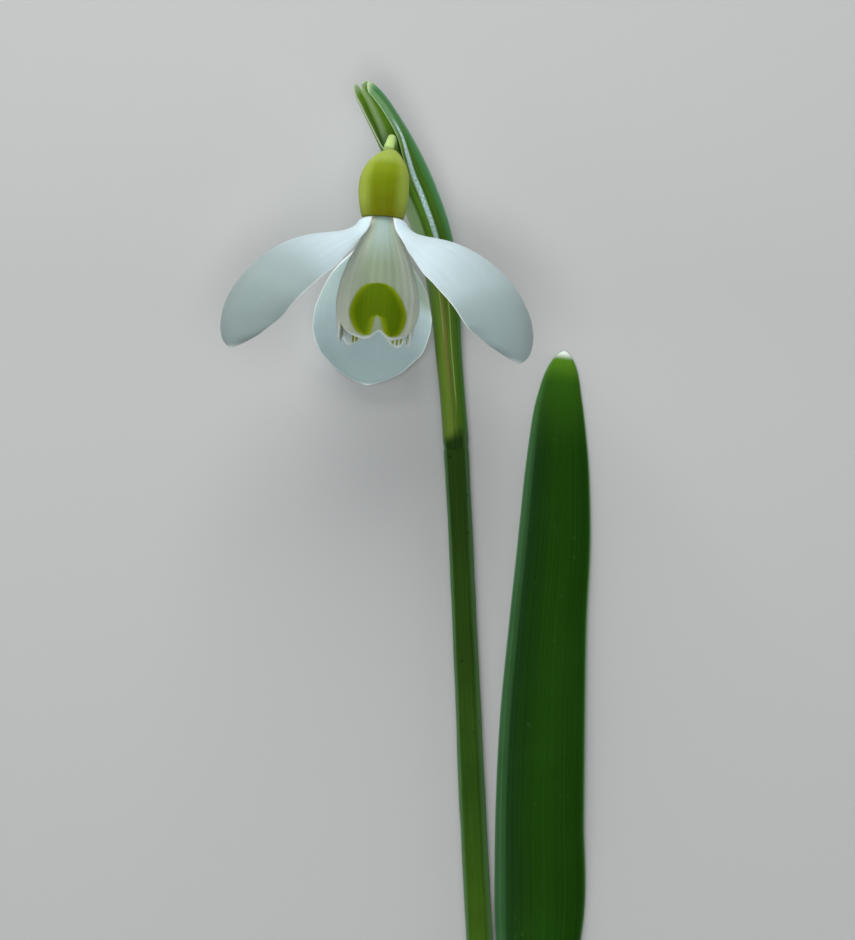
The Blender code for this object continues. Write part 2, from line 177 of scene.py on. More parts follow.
OUTER_TIP = 0.05  # share of its length over which the round tip closes
OUTER_VEINS = 14
OUTER_VEIN_RUN = [(0, 0.2), (0.3, 1), (0.8, 0.9), (1, 0)]
OUTER_THICKNESS = [(0, 1.1), (0.3, 1), (0.8, 0.9), (1, 0.6)]
# Painted shade that greys each outer tepal towards its tip:
OUTER_PAINTED_SHADE = {  # where it starts and ends, and how far it goes
    "left": (0.2, 0.62, 1.0), "right": (0.22, 0.72, 0.8), "back": (0.45, 0.9, 0.75),
}
# Painted shade over the lower part of the side tepals:
OUTER_PAINTED_LOW_SHADE = {"left": 0.46, "right": 0.38, "back": 0.0}  # how much greyer the lower part is
BACK_PAINTED_GLOW = 0.21  # painted glow, an emission that stands in for light coming through the back tepal from behind

INNER_PLACES = {  # azimuth, extra radius and half spread
    "front": (3.5, 0.0, 66.0), "left": (-119.0, -0.75, 55.0), "right": (119.0, -0.75, 55.0),
}
INNER_EXTRA_END = 0.25  # where the extra radius is all there
INNER_LENGTH = 14.2
INNER_CLEARANCE = 1.3  # below the ovary, in clearances
INNER_LAP = 0.5  # how far the foot of each inner tepal reaches up under the ovary
INNER_LAP_END = 0.04
INNER_RADIUS = [
    (0, 1.62), (0.15, 2.65), (0.3, 3.7), (0.5, 4.7), (0.65, 5.15), (0.8, 5.1), (1, 4.75),
]
INNER_SPREAD = [(0, 0.87), (0.15, 0.89), (0.3, 0.97), (0.5, 1), (0.8, 1), (1, 0.94)]
INNER_RIM = [
    (-1, 0.8), (-0.88, 0.89), (-0.7, 0.955), (-0.5, 0.985), (-0.3, 1), (-0.16, 0.985),
    (-0.06, 0.955), (0, 0.942), (0.06, 0.948), (0.16, 0.975), (0.3, 0.995), (0.5, 0.98),
    (0.7, 0.95), (0.88, 0.885), (1, 0.8),
]
INNER_RIBS = 11
INNER_RIB_SHARPNESS = 0.8
INNER_RIB_RUN = [(0, 0.1), (0.2, 0.7), (0.5, 1), (0.85, 0.9), (1, 0.3)]
STROKE_HALF_WIDTH = 0.032
STROKE_SOFTNESS = 0.03
SIDE_STROKES = {"left": (-0.7, -0.56, -0.42, 0.14), "right": (0.55, 0.38, 0.2, -0.2)}

# The green mark: half widths of its outside and of its notch, at distances below the ovary
MARK_MIDDLE = 0.03
MARK_SLANT = 0.08
MARK_LEVEL = 11.0  # where the slant leaves the mark in its place
NOTCH_ASIDE = 0.12  # how far the notch in the mark stands to the left of its middle
MARK_DROP = 0.72  # how much lower the mark sits than its stops say
MARK_FRAY = 0.25
MARK_FRAY_RUN = (3.4, 0.6)  # how fast its edge frays, across it and along it
MARK_SOFTNESS = 0.2
MARK_CROWDING = {"front": 1.0, "left": 1.5, "right": 1.5}  # narrows the marks of the side tepals
MARK_OUTER = [
    (7.0, -1.5), (7.42, 0.4), (7.6, 1.3), (8.06, 1.95), (8.64, 2.42), (9.33, 2.82), (10.03, 3.12),
    (10.73, 3.28), (11.3, 3.27), (11.88, 3.12), (12.47, 2.9), (13.0, 2.55), (13.25, 2.2),
    (13.42, 1.6), (13.6, -1.5),
]
MARK_NOTCH = [
    (7.0, -1.5), (10.95, -0.7), (11.25, 0.0), (11.45, 0.27), (11.88, 0.4), (12.47, 0.54),
    (13.05, 0.7), (13.3, 0.82), (13.5, 1.0), (13.75, 1.7),
]

STAMEN_COUNT = 6
STAMEN_RING = [(0.3, 0.98), (1.6, 1.05), (3.2, 1.3), (5.0, 1.2), (7.2, 0.8)]
STAMEN_FLATTENING = 0.8
STAMEN_PROFILE = [
    (0.3, 0.17), (1.9, 0.17), (2.3, 0.36), (3.2, 0.42), (5.0, 0.34), (6.4, 0.16), (7.2, 0.07),
]
ANTHER_RUN = [(0, 0), (0.25, 0.2), (0.35, 1), (0.85, 1), (1, 0)]
STYLE_PROFILE = [(0.3, 0.3), (4.5, 0.3), (8.2, 0.24), (9.0, 0.12)]

LEAF_LINE = [
    (11.6, CUT_Y, 3.2), (11.5, -56.5, 3.2), (11.4, -52.8, 3.2), (13.1, -47.6, 3.5),
    (15.0, -42.5, 2.7), (15.45, -37.0, 2.05), (15.4, -25.0, 2.15), (15.68, -14.0, 2.1),
    (16.43, -1.7, 1.8), (17.2, 7.7, 1.55), (17.6, 16.5, 1.3), (17.85, 24.2, 0.95),
    (18.45, 30.05, 0.55),
]
LEAF_HALF_BREADTH = [
    (0, 2.9), (0.09, 3.0), (0.15, 3.65), (0.2, 4.65), (0.25, 5.3), (0.4, 5.45), (0.52, 5.25),
    (0.65, 4.75), (0.78, 4.3), (0.88, 3.55), (0.94, 2.7), (0.98, 1.65), (1, 0.6),
]
LEAF_HALF_ARC = [
    (0, 80), (0.09, 79), (0.15, 52), (0.2, 38), (0.25, 31), (0.4, 29), (0.8, 25), (1, 22),
]
LEAF_TURN = [(0, 0), (0.09, 1), (0.13, 32), (0.18, 66), (0.23, 85), (0.3, 90), (1, 90)]
LEAF_TIP = 0.012  # share of its length over which the round tip closes
LEAF_VEINS = 18
LEAF_VEIN_RUN = [(0, 0), (0.15, 0.6), (0.4, 1), (0.85, 0.8), (0.97, 0.2), (1, 0)]
LEAF_THICKNESS = [(0, 1.1), (0.3, 1), (0.85, 0.95), (1, 1.3)]

SHEATH_LENGTH = 9.0
SHEATH_SLANT = 0.16
SHEATH_HALF_WIDTH = 2.5
SHEATH_HALF_HEIGHT = 2.95
SHEATH_SWELL = 0.03
SHEATH_HALF_ARC = 178.2
SHEATH_OFFSET = 0.45  # how far its middle lies from the stalk's, towards the leaf
SHEATH_VEINS = 30

PICTURE_MIDDLE = (2.275, 15.95, 0.0)
CAMERA_REACH = (0.01, 10.0)  # metres
ROOM_COLOUR = (0.86, 0.88, 0.9, 1.0)
FLOWER_AT = (-0.01, 0.03, 0.01)  # metres from the middle of the shoot, and above the table
LIGHTS = {  # place from the flower, whether it aims at the flower, width, height, power and colour
    "key": ((-0.09, 0.36, 0.26), True, 0.4, 0.3, "key_watts", (1.0, 1.0, 1.0)),
    "fill": ((-0.03, -0.08, 0.69), False, 0.3, 0.3, "fill_watts", (0.97, 0.99, 1.0)),
    "left": ((-0.5, 0.0, 0.1), False, 0.15, 0.5, "rim_watts", (0.94, 0.98, 1.0)),
    "right": ((0.5, 0.0, 0.1), False, 0.15, 0.5, "rim_watts", (0.94, 0.98, 1.0)),
}


# --- Lines and stops ----------------------------------------------------------------------------


def read_stops(stops, place):
    """Value at a place on the smooth curve through (place, value) stops."""
    places = np.array([stop[0] for stop in stops], dtype=float)
    values = np.array([stop[1] for stop in stops], dtype=float)
    slopes = np.gradient(values, places, axis=0)
    i = int(np.clip(np.searchsorted(places, place, side="right") - 1, 0, len(places) - 2))
    span = places[i + 1] - places[i]
    t = (place - places[i]) / span
    start = (2 * t**3 - 3 * t**2 + 1) * values[i] + (t**3 - 2 * t**2 + t) * span * slopes[i]
    end = (3 * t**2 - 2 * t**3) * values[i + 1] + (t**3 - t**2) * span * slopes[i + 1]
    return start + end


def line_stops(points):
    """Stops along a line through points, placed by distance from 0 to 1."""
    points = np.array(points, dtype=float)
    steps = np.linalg.norm(np.diff(points, axis=0), axis=1)
    places = np.concatenate([[0.0], np.cumsum(steps)]) / steps.sum()
    return list(zip(places, points))


def unit(vector):
    return vector / np.linalg.norm(vector)


def heading(stops, place):
    """Direction of a line at a place."""
    ahead = read_stops(stops, min(place + HEADING_STEP, 1.0))
    behind = read_stops(stops, max(place - HEADING_STEP, 0.0))
    return unit(ahead - behind)


def level_frame(line, place):
    """Sideways and upward directions square to a line, and square to the cut at its foot."""
    if place == 0.0 and line[0][1][1] == CUT_Y:
        return RIGHT, UP
    forward = heading(line, place)
    side = unit(np.cross(forward, UP))
    return side, np.cross(side, forward)


def flower_frame(lean_degrees=LEAN):
    """Directions of the flower: down to its mouth, towards its front, and to its right."""
    lean, lift = math.radians(lean_degrees), math.radians(LIFT)
    level = math.cos(lift)
    down = np.array((-math.sin(lean) * level, -math.cos(lean) * level, math.sin(lift)))
    front = unit(UP - down[2] * down)
    return down, front, np.cross(front, down)


def petal_frame(azimuth):
    """Down along the flower, and out from it and round it at an angle from its front."""
    down, front, right = flower_frame()
    angle = math.radians(azimuth)
    outward = math.cos(angle) * front + math.sin(angle) * right
    return down, outward, math.cos(angle) * right - math.sin(angle) * front


def ovary_middle(height):
    """Point on the middle line of the ovary at a height above its foot."""
    down, _, right = flower_frame(OVARY_LEAN)
    return FLOWER_FOOT - height * down + OVARY_BEND * height**3 * right


def shoot_shift():
    """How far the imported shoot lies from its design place, told by its ovary and its cut end."""
    low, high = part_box("ovary")
    slope = flower_frame()[2][0]
    edges = [
        ovary_middle(height)[0] + side * radius * slope
        for height, radius in OVARY_PROFILE
        for side in (-1, 1)
    ]
    aside = (low.x + high.x) / 2 - (min(edges) + max(edges)) / 2 * MM
    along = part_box("scape")[0].y - CUT_Y * MM
    return np.array((aside, along, 0.0))


SHIFT = shoot_shift()


# --- Colours and node wiring --------------------------------------------------------------------

FLOAT = "NodeSocketFloat"
WHOLE = "NodeSocketInt"
VECTOR = "NodeSocketVector"
ROTATION = "NodeSocketRotation"
GEOMETRY = "NodeSocketGeometry"
MATERIAL = "NodeSocketMaterial"
SOCKET_TYPES = {int: WHOLE, float: FLOAT}


def tint(red, green, blue):
    """A linear colour from its everyday 0 to 255 values."""
    parts = [value / 255.0 for value in (red, green, blue)]
    return tuple(p / 12.92 if p <= 0.04045 else ((p + 0.055) / 1.055) ** 2.4 for p in parts)


def whole_colour(colour):
    """A value as it is. A setting, or everyday numbers in a tuple, as a linear colour."""
    if isinstance(colour, Value):
        return colour
    return (*(tint(*colour) if isinstance(colour, tuple) else colour), 1.0)


def is_vector(value):
    return isinstance(value, tuple) or isinstance(value, Value) and value.socket.type == "VECTOR"


def arithmetic(operation, swapped=False):
    """A method that puts a value through a math node, before or after another value."""
    if swapped:
        return lambda value, other: value.wiring.math(operation, other, value)
    return lambda value, *others: value.wiring.math(operation, value, *others)


class Value:
    """What a socket gives. Arithmetic with it adds nodes to its tree. A vector stands before the
    number that scales it."""

    def __init__(self, wiring, socket):
        self.wiring, self.socket = wiring, socket

    __add__, __radd__ = arithmetic("ADD"), arithmetic("ADD", True)
    __sub__, __rsub__ = arithmetic("SUBTRACT"), arithmetic("SUBTRACT", True)
    __mul__, __rmul__ = arithmetic("MULTIPLY"), arithmetic("MULTIPLY", True)
    __truediv__, __rtruediv__ = arithmetic("DIVIDE"), arithmetic("DIVIDE", True)
    __pow__, __abs__ = arithmetic("POWER"), arithmetic("ABSOLUTE")
    sine, cosine = arithmetic("SINE"), arithmetic("COSINE")

    def eased(self, low, high, start=0.0, end=1.0):
        """Start up to low and end from high on, with an eased step between them."""
        feeds = dict(enumerate((self, low, high, start, end)))
        return self.wiring.read("ShaderNodeMapRange", feeds, interpolation_type="SMOOTHSTEP")

    def band(self, middle, half, soft):
        """1 within half of the middle, fading to 0 over soft."""
        return abs(self - middle).eased(half, half + soft, 1.0, 0.0)


class Wiring:
    """Adds nodes to a tree and joins their sockets."""

    def __init__(self, tree):
        self.tree = tree

    def node(self, kind, feeds=None, **settings):
        made = self.tree.nodes.new(kind)
        for name, value in settings.items():
            setattr(made, name, value)
        for socket, source in (feeds or {}).items():
            self.feed(made.inputs[socket], source)
        return made

    def read(self, kind, feeds=None, output=0, **settings):
        """What an output of a new node gives."""
        return Value(self, self.node(kind, feeds, **settings).outputs[output])

    def feed(self, socket, source):
        if isinstance(source, Value):
            self.tree.links.new(source.socket, socket)
        else:
            socket.default_value = source

    def outputs_of(self, node):
        return {socket.name: Value(self, socket) for socket in node.outputs if socket.name}

    def math(self, operation, *values, clamp=False):
        """A math node, or a vector math node where the first value is a vector."""
        feeds = dict(enumerate(values))
        if not is_vector(values[0]):
            return self.read("ShaderNodeMath", feeds, operation=operation, use_clamp=clamp)
        if operation == "MULTIPLY" and not is_vector(values[1]):
            operation, feeds = "SCALE", {0: values[0], "Scale": values[1]}
        return self.read("ShaderNodeVectorMath", feeds, operation=operation)

    def joined(self, x, y, z):
        return self.read("ShaderNodeCombineXYZ", {0: x, 1: y, 2: z})

    def parted(self, vector):
        outputs = self.node("ShaderNodeSeparateXYZ", {0: vector}).outputs
        return [Value(self, socket) for socket in outputs]

    def along_axis(self, vector, axis):
        """How far a vector reaches along an axis."""
        feeds = {0: vector, 1: tuple(axis)}
        return self.read("ShaderNodeVectorMath", feeds, "Value", operation="DOT_PRODUCT")

    def mixed(self, share, first, second):
        """first turned into second by a share, as colours."""
        feeds = {0: share, 6: whole_colour(first), 7: whole_colour(second)}
        return self.read("ShaderNodeMix", feeds, 2, data_type="RGBA", clamp_factor=True)

    def noise(self, vector, scale, detail, roughness=0.5):
        feeds = {"Vector": vector, "Scale": scale, "Detail": detail, "Roughness": roughness}
        return self.read("ShaderNodeTexNoise", feeds)

    def ramp(self, value, stops, interpolation="EASE"):
        """A colour read from (place, colour) stops."""
        made = self.node("ShaderNodeValToRGB", {0: value})
        made.color_ramp.interpolation = interpolation
        elements = made.color_ramp.elements
        while len(elements) < len(stops):
            elements.new(0.5)
        for element, (place, colour) in zip(elements, stops):
            element.position, element.color = place, whole_colour(colour)
        return Value(self, made.outputs[0])

    def curve(self, value, stops):
        """The height of a smooth curve through (place, height) stops."""
        low, high = stops[0][0], stops[-1][0]
        heights = [height for _, height in stops]
        bottom, rise = min(heights), max(heights) - min(heights)
        share = self.read("ShaderNodeMapRange", {0: value, 1: low, 2: high})
        made = self.node("ShaderNodeFloatCurve", {"Value": share})
        points = made.mapping.curves[0].points
        while len(points) < len(stops):
            points.new(0.5, 0.5)
        for point, (place, height) in zip(points, stops):
            point.location = ((place - low) / (high - low), (height - bottom) / rise)
        made.mapping.update()
        return Value(self, made.outputs[0]) * rise + bottom

    def attribute(self, name):
        return self.read("ShaderNodeAttribute", output="Fac", attribute_name=name)

    def position(self):
        return self.read("GeometryNodeInputPosition")


def shared_tree(name):
    """The tree of that name, built once. Its sockets are given by default or by type."""
    if name in bpy.data.node_groups:
        return bpy.data.node_groups[name]
    kind, build, inputs, outputs = TREES[name]
    tree = bpy.data.node_groups.new(name, kind)
    for side, sockets in (("INPUT", inputs), ("OUTPUT", outputs)):
        for label, given in sockets.items():
            socket_type = SOCKET_TYPES.get(type(given), given)
            socket = tree.interface.new_socket(label, in_out=side, socket_type=socket_type)
            if given != socket_type:
                socket.default_value = given
    w = Wiring(tree)
    w.node("NodeGroupOutput", build(w, w.outputs_of(w.node("NodeGroupInput"))))
    return tree


# --- Geometry trees -----------------------------------------------------------------------------


class Guide:
    """Reads the measures that a guide carries, at shares of its length."""

    def __init__(self, wiring, geometry):
        self.wiring = wiring
        self.path = wiring.read("GeometryNodeMeshToCurve", {0: geometry})

    def at(self, field, share, kind="FLOAT"):
        w = self.wiring
        if field == "position":
            value = w.position()
        else:
            value = w.read("GeometryNodeInputNamedAttribute", {"Name": field}, data_type=kind)
        feeds = {"Curves": self.path, "Value": value, "Factor": share}
        return w.read("GeometryNodeSampleCurve", feeds, "Value", mode="FACTOR", data_type=kind)

    def vector_at(self, field, share):
        return self.at(field, share, "FLOAT_VECTOR")


def grid_places(w, rows, columns):
    """A flat grid and the two shares, along and round, of each of its corners."""
    feeds = {"Size X": 1.0, "Size Y": 1.0, "Vertices X": rows, "Vertices Y": columns}
    grid = w.read("GeometryNodeMeshGrid", feeds, "Mesh")
    run, ring, _ = w.parted(w.position())
    return grid, run + 0.5, ring + 0.5


def shaped(w, geometry, position, fields):
    """geometry with named measures on its points and its map on its face corners, moved to its
    positions, closed and smooth."""
    for name, value in fields.items():
        kind, domain = ("FLOAT2", "CORNER") if name == "UVMap" else ("FLOAT", "POINT")
        feeds = {"Geometry": geometry, "Name": name, "Value": value}
        geometry = w.read("GeometryNodeStoreNamedAttribute", feeds, data_type=kind, domain=domain)
    moved = w.read("GeometryNodeSetPosition", {"Geometry": geometry, "Position": position})
    feeds = {"Geometry": moved, "Distance": CLOSE_ENOUGH}
    closed = w.read("GeometryNodeMergeByDistance", feeds)
    return w.read("GeometryNodeSetShadeSmooth", {"Geometry": closed, "Shade Smooth": True})


def finished(w, geometry, material):
    """The end of every tree: plain mesh in its material."""
    plain = w.read("GeometryNodeRealizeInstances", {0: geometry})
    feeds = {"Geometry": plain, "Material": material}
    return {"Geometry": w.read("GeometryNodeSetMaterial", feeds)}


def above_table(w, position):
    """position, held on or above the plane of the table."""
    return w.math("MAXIMUM", position, (-1.0, -1.0, 0.0))


def blade_tree(w, given):
    """A thin closed blade that follows a guide: a petal, a leaf or a sheath."""
    guide = Guide(w, given["Guide"])
    grid, run, ring = grid_places(w, given["Rows"] + 1.0, given["Columns"] * 2.0 + 1.0)
    along = 1.0 - (1.0 - run) ** given["Crowding"]
    across = ((1.0 - abs(ring * 4.0 - 2.0)) * (math.pi / 2)).sine()
    edge = abs(across)
    side = w.math("SIGN", 0.5 - ring)
    from_side = across * 0.5 + 0.5
    foot = guide.at("foot", from_side)
    place = foot + along * (guide.at("rim", from_side) - foot)

    thin_end, thin_edge = (
        w.math("SQRT", w.math("MAXIMUM", SHUT - near_end, 0.0))
        for near_end in (abs(along * 2.0 - 1.0) ** END_POWER, edge ** given["Edge Sharpness"])
    )
    half_wall = given["Wall"] * 0.5 * guide.at("thickness", place) * side * (thin_end * thin_edge)

    radius, half_arc = guide.at("radius", place), guide.at("half_arc", place)
    angle = across * half_arc
    outward = guide.vector_at("outward", place)
    breadthwise = guide.vector_at("breadthwise", place)
    normal = breadthwise * angle.sine() + outward * angle.cosine()
    rise = radius * angle.cosine() * guide.at("oval", place) - guide.at("sink", place)
    on_sheet = guide.vector_at("position", place) + outward * rise
    on_sheet = on_sheet + breadthwise * (radius * angle.sine())

    veins = guide.at("veins", from_side) * guide.at("vein_run", place) * given["Vein Depth"]
    waves = w.noise(w.joined(across * WAVES[0], along * WAVES[1], given["Seed"]), 1.0, 1.0)
    waves = (waves - 0.5) * thin_end * (given["Unevenness"] * 2.0)
    swings = w.joined(across * RUFFLE[0], along * RUFFLE[1], given["Seed"] + RUFFLE_SEED)
    ruffle = (w.noise(swings, 1.0, 1.0) - 0.5) * (given["Margin Wave"] * 2.0)
    ruffle = ruffle * (edge**RUFFLE_POWER * thin_end)
    lift = (half_wall + veins) + (waves + ruffle)
    fields = {
        "across": across,
        "along": place,
        "to_rim": along,
        "margin": (1.0 - edge) * (radius * half_arc),
        "front": w.math("GREATER_THAN", 0.5, ring),
        "UVMap": w.joined(ring, along, 0.0),
    }
    blade = shaped(w, grid, above_table(w, on_sheet + normal * lift), fields)
    return finished(w, blade, given["Material"])


def stalk_body(w, given):
    """A closed round body that follows a guide: a stalk or a fruit."""
    guide, cap = Guide(w, given["Guide"]), given["Cap"]
    grid, run, ring = grid_places(w, given["Rows"] + 1.0, given["Sides"] + 1.0)
    place = w.math("DIVIDE", run - cap, 1.0 - cap * 2.0, clamp=True)
    closing = w.math("MINIMUM", (0.5 - abs(run - 0.5)) / cap, 1.0)
    turn = ring * math.tau - math.pi / 2
    sine, cosine = turn.sine(), turn.cosine()
    ribs = guide.at("ribs", ring) * (guide.at("rib_run", place) * given["Rib Depth"])
    swell = w.noise(w.joined(cosine, sine, place * SWELLS + given["Seed"]), 1.0, 2.0)
    grown_out = ribs + (swell - 0.5) * (given["Unevenness"] * 2.0)
    wide = (guide.at("half_width", place) + grown_out) * closing * cosine
    high = (guide.at("half_height", place) + grown_out) * closing * sine
    position = guide.vector_at("position", place) + guide.vector_at("side", place) * wide
    position = position + guide.vector_at("up", place) * high
    fields = {"sideways": cosine, "facing": sine, "along": place, "closing": closing}
    fields["UVMap"] = w.joined(ring, run, 0.0)
    return shaped(w, grid, position, fields)


def stalk_tree(w, given):
    """A stalk or a fruit, held above the table."""
    feeds = {"Geometry": stalk_body(w, given), "Position": above_table(w, w.position())}
    return finished(w, w.read("GeometryNodeSetPosition", feeds), given["Material"])


def stamen_tree(w, given):
    """Stamens in a ring round an axis that starts at a foot and turns by an angle."""
    ring = w.read("GeometryNodeMeshCircle", {"Vertices": given["Count"], "Radius": 0.0})
    turn = (w.read("GeometryNodeInputIndex") + 0.5) * (math.tau / given["Count"])
    feeds = {"Points": ring, "Instance": stalk_body(w, given), "Rotation": w.joined(0.0, 0.0, turn)}
    placed = w.read("GeometryNodeInstanceOnPoints", feeds)
    feeds = {"Geometry": placed, "Translation": given["Foot"], "Rotation": given["Turn"]}
    return finished(w, w.read("GeometryNodeTransform", feeds), given["Material"])


def grown(name, tree, guide, settings, sharp_degrees):
    """Runs a tree on a guide and leaves a plain closed mesh in its place."""
    modifier = guide.modifiers.new("shape", "NODES")
    modifier.node_group = tree
    items = tree.interface.items_tree
    sockets = {item.name: item.identifier for item in items if item.in_out == "INPUT"}
    for label, value in settings.items():
        modifier[sockets[label]] = value
    graph = bpy.context.evaluated_depsgraph_get()
    mesh = bpy.data.meshes.new_from_object(
        guide.evaluated_get(graph), preserve_all_data_layers=True, depsgraph=graph
    )
    guide.modifiers.clear()
    if len(mesh.polygons) == 0:
        raise RuntimeError(f"the tree for {name} made no faces")
    mesh.name = name
    shape = bmesh.new()
    shape.from_mesh(mesh)
    bmesh.ops.recalc_face_normals(shape, faces=shape.faces)
    if shape.calc_volume(signed=True) < 0.0:
        bmesh.ops.reverse_faces(shape, faces=shape.faces)
    shape.to_mesh(mesh)
    shape.free()
    if sharp_degrees:
        mesh.set_sharp_from_angle(angle=math.radians(sharp_degrees))
    guide.data = mesh
    return guide


# --- Guides -------------------------------------------------------------------------------------


def guide_object(name, points, **fields):
    """A chain of points, given in millimetres, that carries measures along its length."""
    mesh = bpy.data.meshes.new(f"{name} guide")
    corners = [tuple(point * MM + SHIFT) for point in np.array(points)]
    mesh.from_pydata(corners, [(i, i + 1) for i in range(len(corners) - 1)], [])
    for field, values in fields.items():
        values = np.array(values, dtype=np.float32)
        flat = values.ndim == 1
        layer = mesh.attributes.new(field, "FLOAT" if flat else "FLOAT_VECTOR", "POINT")
        layer.data.foreach_set("value" if flat else "vector", values.ravel())
    made = bpy.data.objects.new(name, mesh)
    bpy.context.scene.collection.objects.link(made)
    return made


def blade_guide(name, measure, veins=None, vein_run=None, rim=None, thickness=None, foot=None):
    """A guide for the blade tree. measure(place) gives a point, the outward and the breadthwise
    directions, the radius and the half angle of the section, its sink and its oval. The foot and
    the rim say where the blade starts and ends, from one side (-1) to the other (1)."""
    places = np.linspace(0.0, 1.0, GUIDE_POINTS)
    points, outward, breadthwise, radius, half_arc, sink, oval = zip(*map(measure, places))
    return guide_object(
        name,
        points,
        outward=outward,
        breadthwise=breadthwise,
        radius=np.array(radius) * MM,
        half_arc=half_arc,
        sink=np.array(sink) * MM,
        oval=oval,
        foot=[read_stops(foot, 2.0 * place - 1.0) if foot else 0.0 for place in places],
        rim=[read_stops(rim, 2.0 * place - 1.0) if rim else 1.0 for place in places],
        veins=[veins(2.0 * place - 1.0) if veins else 0.0 for place in places],
        vein_run=[read_stops(vein_run, place) if vein_run else 1.0 for place in places],
        thickness=[read_stops(thickness, place) if thickness else 1.0 for place in places],
    )


def stalk_guide(name, measure, ribs=None, rib_run=None, count=GUIDE_POINTS):
    """A guide for the stalk tree. measure(place) gives a point, the sideways and upward
    directions, the half width and the half height."""
    places = np.linspace(0.0, 1.0, count)
    points, side, up, half_width, half_height = zip(*map(measure, places))
    return guide_object(
        name,
        points,
        side=side,
        up=up,
        half_width=np.array(half_width) * MM,
        half_height=np.array(half_height) * MM,
        ribs=[ribs(place) if ribs else 0.0 for place in places],
        rib_run=[read_stops(rib_run, place) if rib_run else 1.0 for place in places],
    )


# --- What each piece measures along its guide ---------------------------------------------------


def round_tip(place, reach):
    """Narrows a blade to nothing over the last reach of its length, as a round tip does."""
    past = max(0.0, (place - 1.0 + reach) / reach)
    return math.sqrt(max(0.0, 1.0 - past * past))


def distance_in(profile, place):
    """Distance at a place along a profile whose stops are distances."""
    start, end = profile[0][0], profile[-1][0]
    return start + (end - start) * place


def measure_scape(place):
    line = line_stops(SCAPE_LINE)
    half = read_stops(SCAPE_HALF_WIDTH, place)
    return read_stops(line, place), *level_frame(line, place), half, half * SCAPE_FLATTENING


def measure_pedicel(place):
    top, aside = OVARY_PROFILE[-1][0], PEDICEL_FOOT_ASIDE * RIGHT
    ends = [ovary_middle(top + stands * GAP) + aside for stands in PEDICEL_STANDS]
    line = line_stops(PEDICEL_LINE + ends)
    forward = heading(line, place)
    side = unit(RIGHT - forward.dot(RIGHT) * forward)
    half = read_stops(PEDICEL_RADIUS, place)
    return read_stops(line, place), side, np.cross(side, forward), half, half


def measure_ovary(place):
    _, front, right = flower_frame()
    height = distance_in(OVARY_PROFILE, place)
    half = read_stops(OVARY_PROFILE, height)
    return ovary_middle(height), right, front, half, half


def measure_style(place):
    down, front, right = flower_frame()
    distance = distance_in(STYLE_PROFILE, place)
    half = read_stops(STYLE_PROFILE, distance)
    return FLOWER_FOOT + distance * down, right, front, half, half


def measure_stamen(place):
    """One stamen, hanging along -Z from the origin at its distance out along +X."""
    distance = distance_in(STAMEN_PROFILE, place)
    half = read_stops(STAMEN_PROFILE, distance)
    point = np.array((read_stops(STAMEN_RING, distance), 0.0, -distance))
    return point - SHIFT / MM, AHEAD, RIGHT, half, half * STAMEN_FLATTENING


def measure_spathe(place):
    line = line_stops(SPATHE_LINE)
    side, up = level_frame(line, place)
    half = read_stops(SPATHE_HALF_WIDTH, place)
    middle = math.radians(180.0 - read_stops(SPATHE_TURN, place))
    outward = math.sin(middle) * side + math.cos(middle) * up
    breadthwise = math.cos(middle) * side - math.sin(middle) * up
    half_arc = math.radians(180.0 - read_stops(SPATHE_HALF_OPENING, place))
    return read_stops(line, place), outward, breadthwise, half, half_arc, 0.0, 1.0


def outer_measure(where):
    down, radial, tangent = petal_frame(OUTER_AZIMUTHS[where])
    opening, breadth = OUTER_OPENING[where], OUTER_BREADTH[where]
    places = np.linspace(0.0, 1.0, OUTER_STEPS)
    angles = np.radians([read_stops(OUTER_ANGLES, place) + opening for place in places])
    step = OUTER_LENGTH[where] / (OUTER_STEPS - 1)
    out = OUTER_START + np.cumsum(np.sin(angles)) * step
    below = GAP + np.cumsum(np.cos(angles)) * step

    def measure(place):
        angle = np.interp(place, places, angles)
        lap = OUTER_LAP * max(0.0, 1.0 - place / OUTER_LAP_END)
        reach = np.interp(place, places, below) - lap
        point = FLOWER_FOOT + np.interp(place, places, out) * radial + reach * down
        aside = OUTER_FOOT_ASIDE[where] * max(0.0, 1.0 - place / OUTER_ASIDE_END) ** 2
        outward = math.cos(angle) * radial - math.sin(angle) * down
        cup = math.radians(read_stops(OUTER_CUP, place))
        half = read_stops(OUTER_HALF_WIDTH, place) * read_stops(breadth, place)
        radius = half / math.sin(cup) * round_tip(place, OUTER_TIP)
        return point + aside * tangent, outward, tangent, radius, cup, radius, 1.0

    return measure


def inner_measure(where):
    azimuth, extra, spread = INNER_PLACES[where]
    down, radial, tangent = petal_frame(azimuth)

    def measure(place):
        radius = read_stops(INNER_RADIUS, place) + extra * min(1.0, place / INNER_EXTRA_END)
        half_arc = math.radians(spread * read_stops(INNER_SPREAD, place))
        lap = INNER_LAP * max(0.0, 1.0 - place / INNER_LAP_END)
        reach = INNER_CLEARANCE * GAP + INNER_LENGTH * place - lap
        return FLOWER_FOOT + reach * down, radial, tangent, radius, half_arc, 0.0, 1.0

    return measure


def measure_leaf(place):
    line = line_stops(LEAF_LINE)
    side, up = level_frame(line, place)
    turn = math.radians(read_stops(LEAF_TURN, place))
    outward = math.cos(turn) * side + math.sin(turn) * up
    breadthwise = math.sin(turn) * side - math.cos(turn) * up
    half_arc = math.radians(read_stops(LEAF_HALF_ARC, place))
    radius = read_stops(LEAF_HALF_BREADTH, place) / half_arc * round_tip(place, LEAF_TIP)
    return read_stops(line, place), outward, breadthwise, radius, half_arc, radius, 1.0


